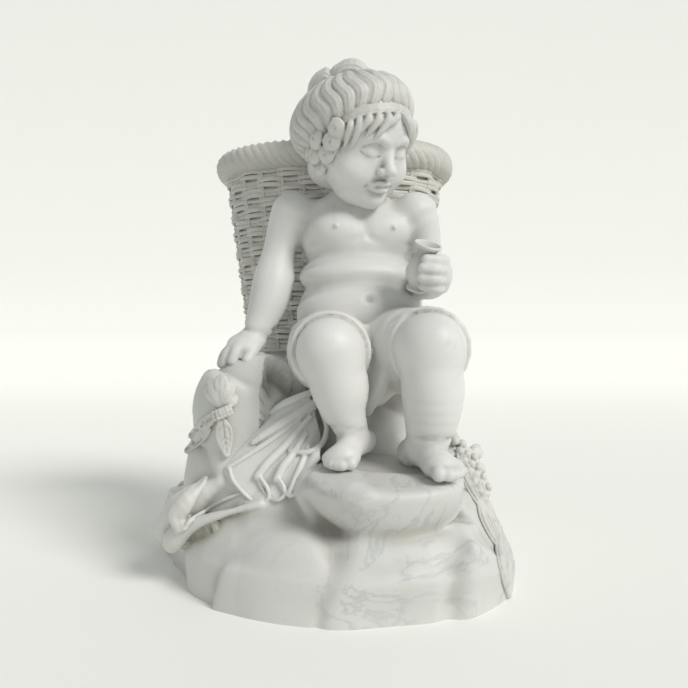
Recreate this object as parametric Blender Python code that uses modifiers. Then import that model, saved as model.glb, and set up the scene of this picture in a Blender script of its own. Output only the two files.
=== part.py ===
"""A seated child with a jug, in front of a wicker harvest basket, carved from one block of marble.

Lengths are in metres, +Z is up, the child faces -Y, and the origin is on the underside of the rock.
Everything is one solid: the child, the cloth over its lap, the basket, the rock and its leaves are
modelled apart, as a carver roughs them out, and then joined.

The soft forms are built as clay: round lumps, each known by its distance from any point, that melt
into one another. A rough mesh of beads is moved onto the melted surface. Their poses are written in
millimetres on a small model, then scaled to the named sizes.
"""

import math

import bmesh
import bpy
import numpy as np
from mathutils import Euler, Matrix, Vector

# The child. Its model's sitting height is MODEL_SITTING, and its seat is at MODEL_SEAT.
SITTING_HEIGHT = 0.470
MODEL_SITTING = 470.0
MODEL_SEAT = (36.0, 12.0, 288.0)
SEAT_HEIGHT = 0.288
SEAT_X = 0.036
SEAT_Y = 0.012
TORSO_TURN = 10.0
HEAD_CENTRE = (37.0, -40.0, 664.0)
HEAD_LEAN = -6.6
HEAD_TURN = 36.0
HEAD_BOW = 27.0
BAND_TILT = -37.0

# The rock. Its model is as wide and deep as its contour at the floor.
BASE_WIDTH = 0.567
BASE_DEPTH = 0.567
BASE_HEIGHT = 0.104
BASE_ROUNDING = 0.030
BASE_TAPER = 0.45
ROCK_FACETS = 130
ROCK_SEED = 11
FACET_EDGE = 0.0009
ROCK_RELIEF = 0.09

# The basket stands this far above the seat.
BASKET_STEP = 0.046
RIM_WIDTH = 0.438
RIM_DEPTH = 0.262
RIM_THICKNESS = 0.052
BASKET_HEIGHT = 0.336
BASKET_TAPER = 0.150
BASKET_WALL = 0.022
HOLLOW_DEPTH = 0.230
BASKET_X = -0.004
BASKET_Y = 0.192
BASKET_YAW = -8.0
BASKET_LEAN = -4.0
WEAVE_ROWS = 13
WEAVE_STAKES = 24
WEAVE_RELIEF = 0.0035
OVAL_POWER = 2.5

# The jug in its hand
JUG_HEIGHT = 0.071
JUG_MOUTH_RADIUS = 0.0205
JUG_BODY_RADIUS = 0.0215
JUG_NECK_RADIUS = 0.0140
JUG_FOOT_RADIUS = 0.0140
JUG_WALL = 0.0040
JUG_HOLLOW = 0.024
JUG_SIDES = 20

# How finely each rough form is cut, and how many triangles it keeps
FIGURE_VOXEL = 0.0050
HEAD_VOXEL = 0.0030
ROCK_VOXEL = 0.0060
CLOTH_VOXEL = 0.0035
FIGURE_TRIANGLES = 3100
HEAD_TRIANGLES = 1900
ROCK_TRIANGLES = 1900
CLOTH_TRIANGLES = 700
FAR_OFF = 1.0
NEARBY = 0.012

MILLIMETRE = 0.001
MODEL_BASE = 0.567
MODEL_SEAT_HEIGHT = 0.288
MARBLE = (0.80, 0.79, 0.75, 1.0)

POSE_SCALE = SITTING_HEIGHT / MODEL_SITTING
POSE = (Matrix.Translation((SEAT_X, SEAT_Y, SEAT_HEIGHT)) @ Matrix.Scale(POSE_SCALE, 4)
        @ Matrix.Translation(-Vector(MODEL_SEAT)))
TORSO = POSE @ Matrix.Translation(MODEL_SEAT) @ Matrix.Rotation(math.radians(TORSO_TURN), 4, "Z")
HEAD = (POSE @ Matrix.Translation(HEAD_CENTRE) @ Matrix.Rotation(math.radians(HEAD_LEAN), 4, "Y")
        @ Matrix.Rotation(math.radians(HEAD_TURN), 4, "Z") @ Matrix.Rotation(math.radians(HEAD_BOW), 4, "X"))
BAND = HEAD @ Matrix.Translation((0, 8, -6)) @ Matrix.Rotation(math.radians(BAND_TILT), 4, "X")

ROCK = (Matrix.Diagonal((BASE_WIDTH / MODEL_BASE, BASE_DEPTH / MODEL_BASE, SEAT_HEIGHT / MODEL_SEAT_HEIGHT, 1))
        @ Matrix.Scale(MILLIMETRE, 4))

# The grapes' places on the rock, in millimetres, and their radius
GRAPES = ((185, 2, 190), (197, 10, 177), (216, 6, 172), (205, -2, 157), (226, 8, 152), (215, -4, 137), (236, 6, 131),
          (224, -6, 117), (241, 4, 111), (232, 2, 98), (206, 26, 182), (226, 30, 166), (238, 30, 146), (244, 28, 124),
          (240, 30, 102))
GRAPE_RADIUS = 13

# The rock's contour at the floor, in millimetres, going round from the front
CONTOUR = ((-40, -235), (22, -247), (84, -247), (134, -241), (182, -216), (217, -171), (249, -122),
           (262, -60), (266, 0), (262, 80), (245, 180), (200, 265), (110, 312), (0, 320), (-110, 312),
           (-200, 275), (-262, 205), (-296, 150), (-301, 91), (-267, 24), (-221, -72), (-183, -145),
           (-121, -196))
CONTOUR_CENTRE = (-18.0, 36.0)


def melt(a, b, soft):
    """The nearer of two distances, rounded where they are within soft of each other."""
    if soft <= 0:
        return np.minimum(a, b)
    h = np.maximum(soft - np.abs(a - b), 0) / soft
    return np.minimum(a, b) - h * h * soft / 4


def smooth_path(rows, steps):
    """A smooth curve through rows of x, y, z and radius."""
    rows = np.array(rows, float)
    if len(rows) == 2:
        return rows
    padded = np.vstack([2 * rows[0] - rows[1], rows, 2 * rows[-1] - rows[-2]])
    path = []
    for before, start, end, after in zip(padded, padded[1:], padded[2:], padded[3:]):
        for t in np.arange(steps) / steps:
            bend = 2 * before - 5 * start + 4 * end - after
            twist = 3 * start - before - 3 * end + after
            path.append(start + 0.5 * ((end - before) * t + bend * t**2 + twist * t**3))
    path.append(rows[-1])
    return np.array(path)


class Clay:
    """Round lumps melted into one another, measured as a distance from any points."""

    def __init__(self):
        self.place = Matrix.Identity(4)
        self.lumps = []
        self.beads = []
        self.rough = []

    def add(self, distance, low, high, soft, cut, place):
        corners = [place @ Vector((x, y, z)) for x in (low[0], high[0])
                   for y in (low[1], high[1]) for z in (low[2], high[2])]
        corners = np.array([tuple(corner) for corner in corners])
        scale = place.median_scale
        inverse = np.array(place.inverted())

        def at(points):
            return scale * distance(points @ inverse[:3, :3].T + inverse[:3, 3])

        reach = soft * scale + NEARBY
        self.lumps.append((at, corners.min(0) - reach, corners.max(0) + reach, soft * scale, cut))

    def ball(self, centre, radii, turn=(0, 0, 0), soft=10, cut=False, relief=None):
        """An ellipsoid. relief gives a height to carve away at each of its points."""
        radii = np.array([radii] * 3 if np.isscalar(radii) else radii, float)
        spin = Euler([math.radians(a) for a in turn]).to_matrix().to_4x4()
        place = self.place @ Matrix.Translation(centre) @ spin

        def distance(p):
            near = np.linalg.norm(p / radii, axis=1)
            slope = np.linalg.norm(p / radii**2, axis=1)
            d = near * (near - 1) / np.maximum(slope, 1e-9)
            return d + relief(p) if relief else d

        self.add(distance, -radii, radii, soft, cut, place)
        if not cut:
            self.beads.append(place @ Matrix.Diagonal((*radii, 1)))

    def limb(self, rows, soft=8, cut=False, steps=3, end=None):
        """A tube through rows of x, y, z and radius. end=(point, direction) cuts it off square there."""
        path = smooth_path(rows, steps)
        a, b = path[:-1], path[1:]
        if end:
            stop, way = np.array(end[0], float), np.array(Vector(end[1]).normalized())

        def distance(p):
            best = np.full(len(p), np.inf)
            for start, finish in zip(a, b):
                along = finish[:3] - start[:3]
                t = np.clip((p - start[:3]) @ along / max(along @ along, 1e-9), 0, 1)
                gap = p - start[:3] - t[:, None] * along
                d = np.sqrt(np.einsum("ij,ij->i", gap, gap)) - start[3] - t * (finish[3] - start[3])
                best = np.minimum(best, d)
            return -melt(-best, -((p - stop) @ way), 4) if end else best

        reach = path[:, 3].max()
        self.add(distance, path[:, :3].min(0) - reach, path[:, :3].max(0) + reach, soft, cut, self.place)
        if cut:
            return
        for start, finish in zip(a, b):
            spacing = max(0.5 * min(start[3], finish[3]), 2.0)
            count = 1 + int(np.linalg.norm(finish[:3] - start[:3]) / spacing)
            for t in np.arange(count + 1) / count:
                row = start + t * (finish - start)
                self.beads.append(self.place @ Matrix.Translation(row[:3]) @ Matrix.Scale(row[3], 4))

    def form(self, distance, low, high, soft=0, cut=False):
        """Any other shape, given by its own distance within a box."""
        self.add(distance, np.array(low, float), np.array(high, float), soft, cut, self.place)

    def distance(self, points):
        total = np.full(len(points), FAR_OFF)
        for at, low, high, soft, cut in self.lumps:
            near = ((points > low) & (points < high)).all(1)
            if near.any():
                d = at(points[near])
                total[near] = -melt(-total[near], d, soft) if cut else melt(total[near], d, soft)
        return total

    def settle(self, points, steps=2, most=0.006, nudge=0.0004):
        """Moves points onto the melted surface."""
        for _ in range(steps):
            d = self.distance(points)
            slope = np.stack([self.distance(points + nudge * np.eye(3)[i]) - d for i in range(3)], 1) / nudge
            step = slope * (d / np.maximum(np.einsum("ij,ij->i", slope, slope), 0.3))[:, None]
            length = np.linalg.norm(step, axis=1, keepdims=True)
            points = points - step * np.minimum(1, most / np.maximum(length, 1e-9))
        return points

    def round_at(self, place, angle, height, lift=0.0):
        """The surface's point at an angle from the front, and a height, in the frame of place."""
        turn = math.radians(angle)
        ray = Vector((math.sin(turn), -math.cos(turn), 0))
        distance = 150.0
        for _ in range(24):
            spot = place @ (ray * distance + Vector((0, 0, height)))
            gap = self.distance(np.array([tuple(spot)]))[0] / place.median_scale
            distance -= max(-8.0, min(8.0, gap))
        return ray * (distance + lift) + Vector((0, 0, height))


def new_object(name, mesh):
    obj = bpy.data.objects.new(name, mesh)
    bpy.context.scene.collection.objects.link(obj)
    return obj


def evaluated_mesh(obj):
    """The object's mesh with its modifiers applied. The object itself goes."""
    graph = bpy.context.evaluated_depsgraph_get()
    mesh = bpy.data.meshes.new_from_object(obj.evaluated_get(graph))
    bpy.data.objects.remove(obj)
    return mesh


def keep_largest_shell(mesh):
    bm = bmesh.new()
    bm.from_mesh(mesh)
    left = set(bm.verts)
    shells = []
    while left:
        shell = [left.pop()]
        for vert in shell:
            for edge in vert.link_edges:
                other = edge.other_vert(vert)
                if other in left:
                    left.remove(other)
                    shell.append(other)
        shells.append(shell)
    shells.sort(key=len)
    bmesh.ops.delete(bm, geom=[vert for shell in shells[:-1] for vert in shell], context="VERTS")
    bm.to_mesh(mesh)
    bm.free()


def remeshed(mesh, voxel):
    obj = new_object("rough", mesh)
    modifier = obj.modifiers.new("voxels", "REMESH")
    modifier.mode = "VOXEL"
    modifier.voxel_size = voxel
    fine = evaluated_mesh(obj)
    bpy.data.meshes.remove(mesh)
    keep_largest_shell(fine)
    return fine


def points_of(mesh):
    flat = np.empty(len(mesh.vertices) * 3, np.float32)
    mesh.vertices.foreach_get("co", flat)
    return flat.reshape(-1, 3).astype(float)


def set_points(mesh, points):
    mesh.vertices.foreach_set("co", points.astype(np.float32).ravel())
    mesh.update()


def bead_mesh(beads, rough):
    """A round bead at each place, and any rough blocks, all in one mesh."""
    bm = bmesh.new()
    bmesh.ops.create_icosphere(bm, subdivisions=2, radius=1.0)
    ball = np.array([vert.co for vert in bm.verts])
    faces = np.array([[vert.index for vert in face.verts] for face in bm.faces])
    bm.free()
    places = np.array([np.array(bead) for bead in beads])
    points = np.einsum("nij,vj->nvi", places[:, :3, :3], ball) + places[:, None, :3, 3]
    faces = faces + len(ball) * np.arange(len(beads))[:, None, None]
    mesh = bpy.data.meshes.new("beads")
    mesh.from_pydata(points.reshape(-1, 3).tolist(), [], faces.reshape(-1, 3).tolist())
    bm = bmesh.new()
    bm.from_mesh(mesh)
    for block in rough:
        block.to_mesh(mesh)
        block.free()
        bm.from_mesh(mesh)
    bm.to_mesh(mesh)
    bm.free()
    return mesh


def clay_mesh(clay, voxel, passes=2):
    mesh = bead_mesh(clay.beads, clay.rough)
    for _ in range(passes):
        mesh = remeshed(mesh, voxel)
        set_points(mesh, clay.settle(points_of(mesh)))
    return mesh


def thinned(mesh, triangles):
    """The mesh with its flatter faces merged, down to a number of triangles."""
    obj = new_object("thinned", mesh)
    modifier = obj.modifiers.new("fewer", "DECIMATE")
    modifier.ratio = min(1.0, triangles / (2 * len(mesh.vertices)))
    modifier.use_collapse_triangulate = True
    return new_object("form", evaluated_mesh(obj))


def shape_torso(clay):
    clay.place = TORSO
    clay.ball((0, 6, 52), (98, 76, 58), soft=0)
    for side in (-1, 1):
        clay.ball((45 * side, 24, 40), (52, 56, 42), soft=25)
    clay.ball((0, -20, 112), (99, 74, 62), soft=26)
    clay.ball((0, -12, 168), (94, 66, 38), soft=12)
    clay.ball((0, -2, 226), (88, 60, 60), soft=16)
    for side in (-1, 1):
        clay.ball((40 * side, -36, 240), (37, 27, 28), soft=14)
        clay.ball((40 * side, 34, 230), (38, 26, 52), soft=25)
    clay.ball((0, 8, 268), (84, 44, 34), soft=25)
    clay.limb([(0, 10, 275, 42), (0, -14, 318, 36)], soft=24)
    # Folds of the belly, the breasts' lower edges, the navel and the nipples
    clay.limb([(-104, -10, 128, 3), (-70, -64, 146, 4), (-20, -84, 158, 4), (25, -84, 158, 4), (72, -60, 146, 4),
               (104, -8, 132, 3)], soft=14, cut=True)
    clay.limb([(-98, -10, 176, 3), (-62, -58, 190, 4), (-10, -76, 203, 4), (40, -72, 198, 4), (82, -40, 184, 3)],
              soft=12, cut=True)
    for side in (-1, 1):
        clay.limb([(84 * side, -30, 218, 4), (62 * side, -60, 210, 4), (36 * side, -68, 212, 4),
                   (8 * side, -64, 224, 3)], soft=8, cut=True)
    clay.ball((2, -97, 130), (9, 8, 5), soft=9, cut=True)
    clay.ball((2, -93, 127), (4, 10, 3), soft=3, cut=True)
    for side in (-1, 1):
        clay.ball((45 * side, -64, 240), 3.4, soft=3)
    clay.limb([(0, -60, 262, 3), (0, -66, 235, 3)], soft=16, cut=True)


def shape_arms(clay):
    clay.place = POSE
    # The right arm reaches down to the rock.
    clay.limb([(-66, 12, 556, 37), (-78, 10, 530, 30), (-87, 6, 503, 25.5), (-92, 2, 477, 28), (-96, -5, 451, 32),
               (-101, -12, 425, 31), (-108, -18, 402, 27), (-116, -24, 380, 22.5)], soft=14)
    clay.limb([(-116, -24, 380, 20), (-128, -34, 358, 18)], soft=6)
    clay.ball((-136, -38, 352), (27, 30, 14), turn=(20, 10, -30), soft=8)
    clay.limb([(-136, -10, 386, 2), (-140, -34, 376, 2), (-124, -50, 370, 2), (-100, -46, 368, 2),
               (-94, -26, 372, 2), (-104, -4, 380, 2), (-136, -10, 386, 2)], soft=6, cut=True)
    for finger in (((-116, -34, 355, 11), (-122, -52, 342, 9.5), (-130, -64, 326, 8)),
                   ((-138, -46, 352, 10), (-146, -60, 340, 9), (-152, -64, 325, 7.6)),
                   ((-146, -42, 351, 10), (-159, -54, 337, 8.6), (-166, -54, 321, 7.4)),
                   ((-149, -32, 350, 9.5), (-166, -40, 335, 8.2), (-173, -38, 320, 7)),
                   ((-148, -20, 350, 9), (-166, -24, 336, 7.6), (-174, -20, 322, 6.4))):
        clay.limb(finger, soft=3.5)
    # The left arm is bent forward with the jug.
    clay.limb([(128, 8, 555, 37), (141, 9, 525, 28), (145, 8, 492, 26), (147, 2, 455, 29), (147, -35, 448, 29),
               (147, -68, 450, 24), (148, -86, 453, 20)], soft=14)
    clay.ball((157, -100, 450), (13, 24, 26), turn=(0, 0, 8), soft=10)
    for finger in (((158, -108, 469, 9), (148, -130, 467, 8.4), (130, -136, 467.5, 7.6)),
                   ((160, -108, 456, 9), (146, -134, 453.5, 8.4), (125, -137, 455.5, 7.6)),
                   ((159, -106, 443, 9), (145, -131, 440, 8.2), (123, -133, 443, 7.2)),
                   ((156, -104, 431, 8.6), (144, -124, 428, 7.6), (126, -124, 431.5, 6.6)),
                   ((150, -88, 458, 11), (132, -84, 468, 10), (114, -94, 476, 8))):
        clay.limb(finger, soft=2.5)


def shape_legs(clay):
    clay.place = POSE
    # The right leg
    clay.limb([(-8, 10, 335, 60), (-8, -70, 338, 55), (-3, -135, 338, 47), (-3, -152, 337, 45)], soft=22)
    clay.limb([(-3, -152, 337, 45), (4, -152, 312, 41), (9.5, -148, 290, 40), (14, -145, 262, 31),
               (25, -138, 234, 23), (28, -132, 222, 23)], soft=10)
    clay.ball((-8, -166, 350), (28, 26, 26), soft=22)
    clay.limb([(42, -110, 212, 19), (28, -134, 211, 20), (15, -172, 200, 18)], soft=8)
    clay.ball((10, -172, 197), (25, 17, 13), soft=12)
    for x, y, z, radius in ((24, -190, 193, 9), (13, -193, 190.5, 7.2), (6, -191, 190, 6.6), (-1, -187, 190.5, 6.2),
                            (-7, -180, 191, 5.6)):
        clay.limb([(x * 0.8 + 4, -170, 197, radius), (x, y, z, radius)], soft=3)
    clay.limb([(4, -168, 236, 2), (30, -166, 232, 2), (52, -142, 232, 2), (50, -116, 232, 2), (26, -106, 232, 2),
               (4, -118, 234, 2), (-2, -146, 236, 2), (4, -168, 236, 2)], soft=6, cut=True)
    # The left leg
    clay.limb([(84, 5, 335, 60), (106, -85, 341, 57), (129, -145, 343, 49), (132, -160, 342, 47)], soft=22)
    clay.limb([(132, -160, 342, 47), (133, -165, 315, 42.5), (135, -165, 285, 42.5), (134, -160, 250, 37),
               (131, -152, 226, 31), (128, -146, 214, 29)], soft=10)
    clay.ball((136, -178, 354), (28, 26, 26), soft=22)
    clay.limb([(111, -116, 196, 21), (124, -140, 204, 24), (140, -188, 191, 18)], soft=10)
    clay.ball((146, -186, 188), (27, 20, 14), soft=12)
    for x, y, z, radius in ((137, -212, 183, 10.2), (149, -213, 182, 8.4), (157.5, -210, 182, 7.4),
                            (165, -205, 182.5, 6.6), (171, -197, 184, 6)):
        clay.limb([(x * 0.8 + 28, -186, 190, radius), (x, y, z, radius)], soft=3)
    clay.limb([(100, -176, 222, 2.2), (130, -186, 226, 2.2), (160, -172, 222, 2.2), (164, -140, 222, 2.2),
               (140, -112, 220, 2.2), (106, -116, 220, 2.2), (94, -146, 220, 2.2), (100, -176, 222, 2.2)],
              soft=6, cut=True)


def shape_lap_cloth(clay):
    """The cloth wrapped over both thighs, with its folds between them."""
    clay.place = POSE
    clay.limb([(-8, 20, 332, 66), (-8, -70, 338, 62), (-4, -110, 338, 57), (-3, -150, 338, 53)], soft=4,
              end=((-5, -140, 338), (0.0, -1, 0.12)))
    clay.limb([(84, 5, 335, 66), (104, -80, 341, 63), (126, -128, 343, 57), (133, -168, 342, 54)], soft=4,
              end=((128, -148, 343), (0.25, -1, 0.12)))
    # Its rolled edges round the knees
    for x, y, z, across, deep in ((-4, -139, 339, 54, 0), (129, -147, 343, 56, -14)):
        edge = []
        for turn in np.radians(np.linspace(-135, 135, 15)):
            edge.append((x + across * math.sin(turn), y + deep * math.sin(turn) - 6 * math.cos(turn),
                         z + across * math.cos(turn), 3.6))
        clay.limb(edge, soft=3, steps=1)
    for fold in (((144, -60, 396, 7), (105, -80, 388, 9), (74, -95, 363, 10), (55, -100, 327, 10), (44, -95, 291, 9),
                  (41, -85, 268, 8)),
                 ((161, -95, 388, 7), (116, -110, 381, 8), (87, -120, 356, 10), (68, -115, 320, 11),
                  (52, -105, 281, 10), (44, -95, 262, 9)),
                 ((178, -118, 377, 6), (128, -130, 377, 7), (93, -130, 358, 9), (77, -125, 320, 10),
                  (62, -115, 285, 10), (48, -100, 255, 9)),
                 ((-64, -20, 338, 6), (-60, -50, 366, 6), (-48, -84, 376, 6), (-18, -108, 385, 6), (18, -104, 384, 7),
                  (44, -92, 368, 8))):
        clay.limb(fold, soft=7)
    clay.ball((60, -82, 318), (36, 34, 60), soft=14)


def figure_clay():
    clay = Clay()
    shape_torso(clay)
    shape_arms(clay)
    shape_legs(clay)
    shape_lap_cloth(clay)
    return clay


def shape_face(clay):
    """A calm toddler's face, its eyes lowered."""
    clay.place = HEAD
    clay.ball((0, 8, 14), (70, 86, 74), soft=0)
    clay.ball((0, -36, 20), (53, 46, 46), soft=22)
    clay.ball((0, -16, -36), (59, 56, 54), soft=22)
    clay.ball((0, -30, -74), (40, 34, 22), soft=14)
    for side in (-1, 1):
        clay.ball((33 * side, -42, -38), (29, 27, 27), soft=18)
    clay.ball((0, -56, -80), (18, 16, 14), soft=12)
    for side in (-1, 1):
        clay.ball((25.5 * side, -86, -4), (16, 10, 11), soft=12, cut=True)
    # The nose
    clay.limb([(0, -70, 4, 5), (0, -78, -12, 6), (0, -85, -26, 8)], soft=9)
    clay.ball((0, -90, -31), (9.5, 8.5, 8), soft=5)
    for side in (-1, 1):
        clay.ball((9.5 * side, -81, -34.5), (6, 8, 5.5), soft=3.5)
        clay.ball((5 * side, -88, -39.5), (2.8, 4, 2.2), soft=2, cut=True)
    # The upper lid covers each eyeball down to the lashes.
    for side in (-1, 1):
        clay.ball((25.5 * side, -62, -9), (14.5, 13.5, 12.5), turn=(0, 0, 14 * side), soft=4)
        clay.limb([(12.5 * side, -70.5, -11, 1.1), (18 * side, -75.5, -15.5, 1.4), (26 * side, -76, -17.5, 1.5),
                   (34 * side, -71, -15, 1.4), (39.5 * side, -63, -10, 1)], soft=2, cut=True)
        clay.limb([(12 * side, -74, 0, 1), (19 * side, -77, 3.5, 1.2), (27 * side, -76, 4.5, 1.2),
                   (35 * side, -71, 1.5, 1.1), (40 * side, -64, -4, 0.8)], soft=3, cut=True)
        clay.limb([(9 * side, -79, 8, 2.5), (22 * side, -80, 13, 4), (36 * side, -70, 10, 3)], soft=9)
    # The mouth
    for side in (-1, 1):
        clay.limb([(0, -77.5, -52.5, 3.2), (6 * side, -77, -51.5, 3.8), (14 * side, -71.5, -54.5, 3),
                   (20 * side, -64, -57, 2)], soft=4)
    clay.limb([(-16, -67, -60, 2.4), (-8, -73.5, -62.5, 4.2), (0, -75, -63, 4.8), (8, -73.5, -62.5, 4.2),
               (16, -67, -60, 2.4)], soft=4)
    clay.limb([(-21, -64, -57, 1), (-12, -74, -57.5, 1.2), (-4, -80, -57.6, 1.3), (4, -80, -57.6, 1.3),
               (12, -74, -57.5, 1.2), (21, -64, -57, 1)], soft=2, cut=True)
    for side in (-1, 1):
        clay.ball((22.5 * side, -62.5, -57), 2.2, soft=5, cut=True)
    clay.limb([(0, -84, -41, 1.5), (0, -84.5, -48, 2)], soft=4, cut=True)
    clay.ball((0, -80, -70), (13, 6, 3.5), soft=6, cut=True)


def combed(p, locks, depth):
    """Grooves between locks combed from the band up to the knot."""
    angle = np.arctan2(p[:, 0], p[:, 1])
    sway = 0.10 * np.sin(p[:, 2] / 15 + 3 * angle) + 0.05 * np.sin(p[:, 2] / 8 + 7 * angle)
    ridge = np.abs(np.sin(locks / 2 * (angle + sway)))
    return depth * (0.6 - ridge)


def shape_hair(clay):
    skull = Clay()
    skull.place = HEAD
    skull.ball((0, 8, 14), (70, 86, 74), soft=0)
    skull.ball((0, -36, 20), (53, 46, 46), soft=22)
    skull.ball((0, -16, -36), (59, 56, 54), soft=22)
    # The cap of hair, and the band that ties it
    clay.place = BAND
    clay.ball((0, 2, 32), (92, 98, 60), soft=0, relief=lambda p: combed(p, 26, 3.5))
    ring = np.linspace(0, 2 * math.pi, 25)
    for height in (-4, 2):
        clay.limb([(80 * math.sin(a), 2 - 92 * math.cos(a), height, 4.5) for a in ring], soft=2, steps=1)
    # The knot on the crown: two loops side by side
    clay.place = POSE
    clay.limb([(-32, 30, 748, 13), (-29, 18, 764, 15), (-14, 12, 774, 15), (-4, 16, 764, 13)], soft=4)
    clay.limb([(0, 16, 764, 14), (10, 6, 780, 16), (34, 2, 782, 16), (54, 10, 766, 14), (48, 22, 748, 13)], soft=4)
    clay.ball((8, 26, 752), (40, 26, 26), soft=8)
    # The fringe
    clay.place = HEAD
    for number in range(9):
        angle = -50 + 12.5 * number
        top = 8 + 42 * math.cos(math.radians(angle))
        sweep = -9 if angle < 12 else 9
        clay.limb([(*skull.round_at(HEAD, angle, top, 3), 7), (*skull.round_at(HEAD, angle, top - 11, 5), 7),
                   (*skull.round_at(HEAD, angle + sweep, top - 21, 2), 3.5)], soft=3)
    # Curls at the temples and the nape
    for angle, height, radius in ((-62, 16, 13), (-66, -4, 14), (-72, -24, 13), (-90, -6, 15), (-94, -30, 15),
                                  (-86, -48, 11), (-118, -30, 15), (-122, -54, 13), (62, 18, 12), (68, 0, 13),
                                  (76, -20, 13), (90, -2, 15), (96, -26, 14), (118, -30, 15), (120, -52, 13),
                                  (150, -40, 16), (180, -44, 17), (-150, -40, 16), (165, -62, 13), (-165, -62, 13)):
        clay.ball(skull.round_at(HEAD, angle, height, 5), radius, soft=2)


def head_clay():
    clay = Clay()
    shape_face(clay)
    shape_hair(clay)
    clay.place = TORSO
    clay.limb([(0, 12, 285, 36), (0, -10, 322, 36)], soft=16)
    return clay


def chisel_planes(points):
    """The broad flat planes of broken rock, as a height at each point."""
    rng = np.random.default_rng(ROCK_SEED)
    half = Vector((BASE_WIDTH, BASE_DEPTH, SEAT_HEIGHT)) * 0.55
    centres = rng.uniform((-half.x, -half.y, 0), (half.x, half.y, 2 * half.z), (ROCK_FACETS, 3))
    tilts = rng.normal(size=(ROCK_FACETS, 3)) * ROCK_RELIEF
    total = np.zeros(len(points))
    weights = np.full(len(points), 1e-12)
    for centre, tilt in zip(centres, tilts):
        gap = points - centre
        weight = np.exp(-np.einsum("ij,ij->i", gap, gap) / FACET_EDGE)
        total += weight * (gap @ tilt)
        weights += weight
    return total / weights


def shape_block(clay):
    """The low block that everything stands on, down past the floor. Its underside is cut flat later."""
    contour = np.array(CONTOUR, float) - CONTOUR_CENTRE
    contour *= (BASE_WIDTH / np.ptp(contour[:, 0]), BASE_DEPTH / np.ptp(contour[:, 1]))
    centre = np.array(CONTOUR_CENTRE) * MILLIMETRE
    angles = np.arctan2(contour[:, 1], contour[:, 0])
    radii = np.hypot(contour[:, 0], contour[:, 1])
    order = np.argsort(angles)

    def distance(p):
        x, y = p[:, 0] - centre[0], p[:, 1] - centre[1]
        radius = np.interp(np.arctan2(y, x), angles[order], radii[order], period=2 * math.pi)
        lean = BASE_TAPER * np.maximum(p[:, 2] - BASE_HEIGHT / 2, 0)
        side = np.hypot(x, y) - radius + lean
        top = p[:, 2] - BASE_HEIGHT - 0.25 * np.maximum(y + 0.10, 0)
        return -melt(-side, -top, BASE_ROUNDING)

    clay.place = Matrix.Identity(4)
    clay.form(distance, (-BASE_WIDTH, -BASE_DEPTH, -0.05), (BASE_WIDTH, BASE_DEPTH, 0.2))
    bm = bmesh.new()
    outline = bm.faces.new([bm.verts.new((centre[0] + x, centre[1] + y, -0.04)) for x, y in contour])
    grown = bmesh.ops.extrude_face_region(bm, geom=[outline])
    top = [item for item in grown["geom"] if isinstance(item, bmesh.types.BMVert)]
    bmesh.ops.translate(bm, verts=top, vec=(0, 0, BASE_HEIGHT + 0.03))
    bmesh.ops.recalc_face_normals(bm, faces=bm.faces)
    bmesh.ops.triangulate(bm, faces=bm.faces)
    clay.rough.append(bm)


def rock_clay():
    clay = Clay()
    shape_block(clay)
    clay.place = ROCK
    for centre, radii in (((-30, 70, 110), (210, 190, 120)), ((-112, 5, 244), (90, 95, 80)),
                          ((-124, 20, 150), (108, 140, 120)), ((36, 40, 205), (135, 110, 86)),
                          ((0, 190, 180), (205, 135, 150)), ((0, 196, 262), (176, 112, 98)),
                          ((110, 60, 140), (108, 170, 110)), ((60, -15, 190), (120, 78, 104)),
                          ((-70, -60, 120), (110, 90, 70)), ((120, -60, 110), (110, 110, 62)),
                          ((-150, -30, 236), (38, 46, 80)), ((-130, -44, 262), (70, 60, 66))):
        clay.ball(centre, radii, soft=34)
    # The ledge under the feet is a bowl-bellied stone, flat on top.
    clay.place = POSE
    clay.ball((62, -148, 176), (120, 102, 94), soft=14)
    clay.beads[-1] = clay.place @ Matrix.Translation((62, -148, 134)) @ Matrix.Diagonal((112, 94, 46, 1))
    clay.form(lambda p: 177 - 0.06 * (p[:, 0] - 62) + 0.13 * (p[:, 1] + 170) - p[:, 2], (-80, -280, 150),
              (220, -70, 300), soft=12, cut=True)
    return clay


def shape_plants(clay):
    """Leaves and a seed head on the left of the rock, grapes and leaves on its right."""
    clay.place = ROCK
    # A flower's broad petals, its seed head and its pointed leaves
    for centre, radii, turn in (((-166, -46, 264), (22, 13, 32), (0, -14, 0)), ((-148, -58, 262), (20, 12, 34), (0, 6, 0)),
                                ((-178, -44, 244), (20, 13, 20), (0, -50, 0)), ((-136, -66, 250), (14, 11, 28), (0, 16, 0)),
                                ((-158, -70, 230), (24, 12, 13), (0, -32, 0))):
        clay.ball(centre, radii, turn=turn, soft=3)
    for leaf in (((-156, -68, 226, 12), (-176, -72, 214, 11), (-198, -78, 200, 4)),
                 ((-142, -80, 222, 9), (-140, -90, 204, 13), (-146, -98, 178, 3)),
                 ((-160, -112, 150, 11), (-192, -100, 132, 20), (-224, -80, 104, 24), (-250, -58, 72, 17)),
                 ((-100, -148, 130, 6), (-150, -142, 116, 8), (-200, -122, 94, 10), (-234, -96, 62, 11)),
                 ((172, -40, 196, 8), (196, -32, 172, 13), (214, -26, 140, 15), (230, -24, 108, 9)),
                 ((186, -70, 108, 10), (216, -56, 88, 12), (236, -46, 58, 11), (246, -40, 16, 9))):
        clay.limb(leaf, soft=4)
    clay.ball((238, 50, 58), (38, 52, 46), soft=6)
    # The bunch of grapes
    for x, y, z in GRAPES:
        clay.ball((x, y, z), GRAPE_RADIUS, soft=2)


def rock_mesh():
    clay = rock_clay()
    shape_plants(clay)
    plain = clay.distance
    clay.distance = lambda points: plain(points) + chisel_planes(points)
    return clay_mesh(clay, ROCK_VOXEL)


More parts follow.
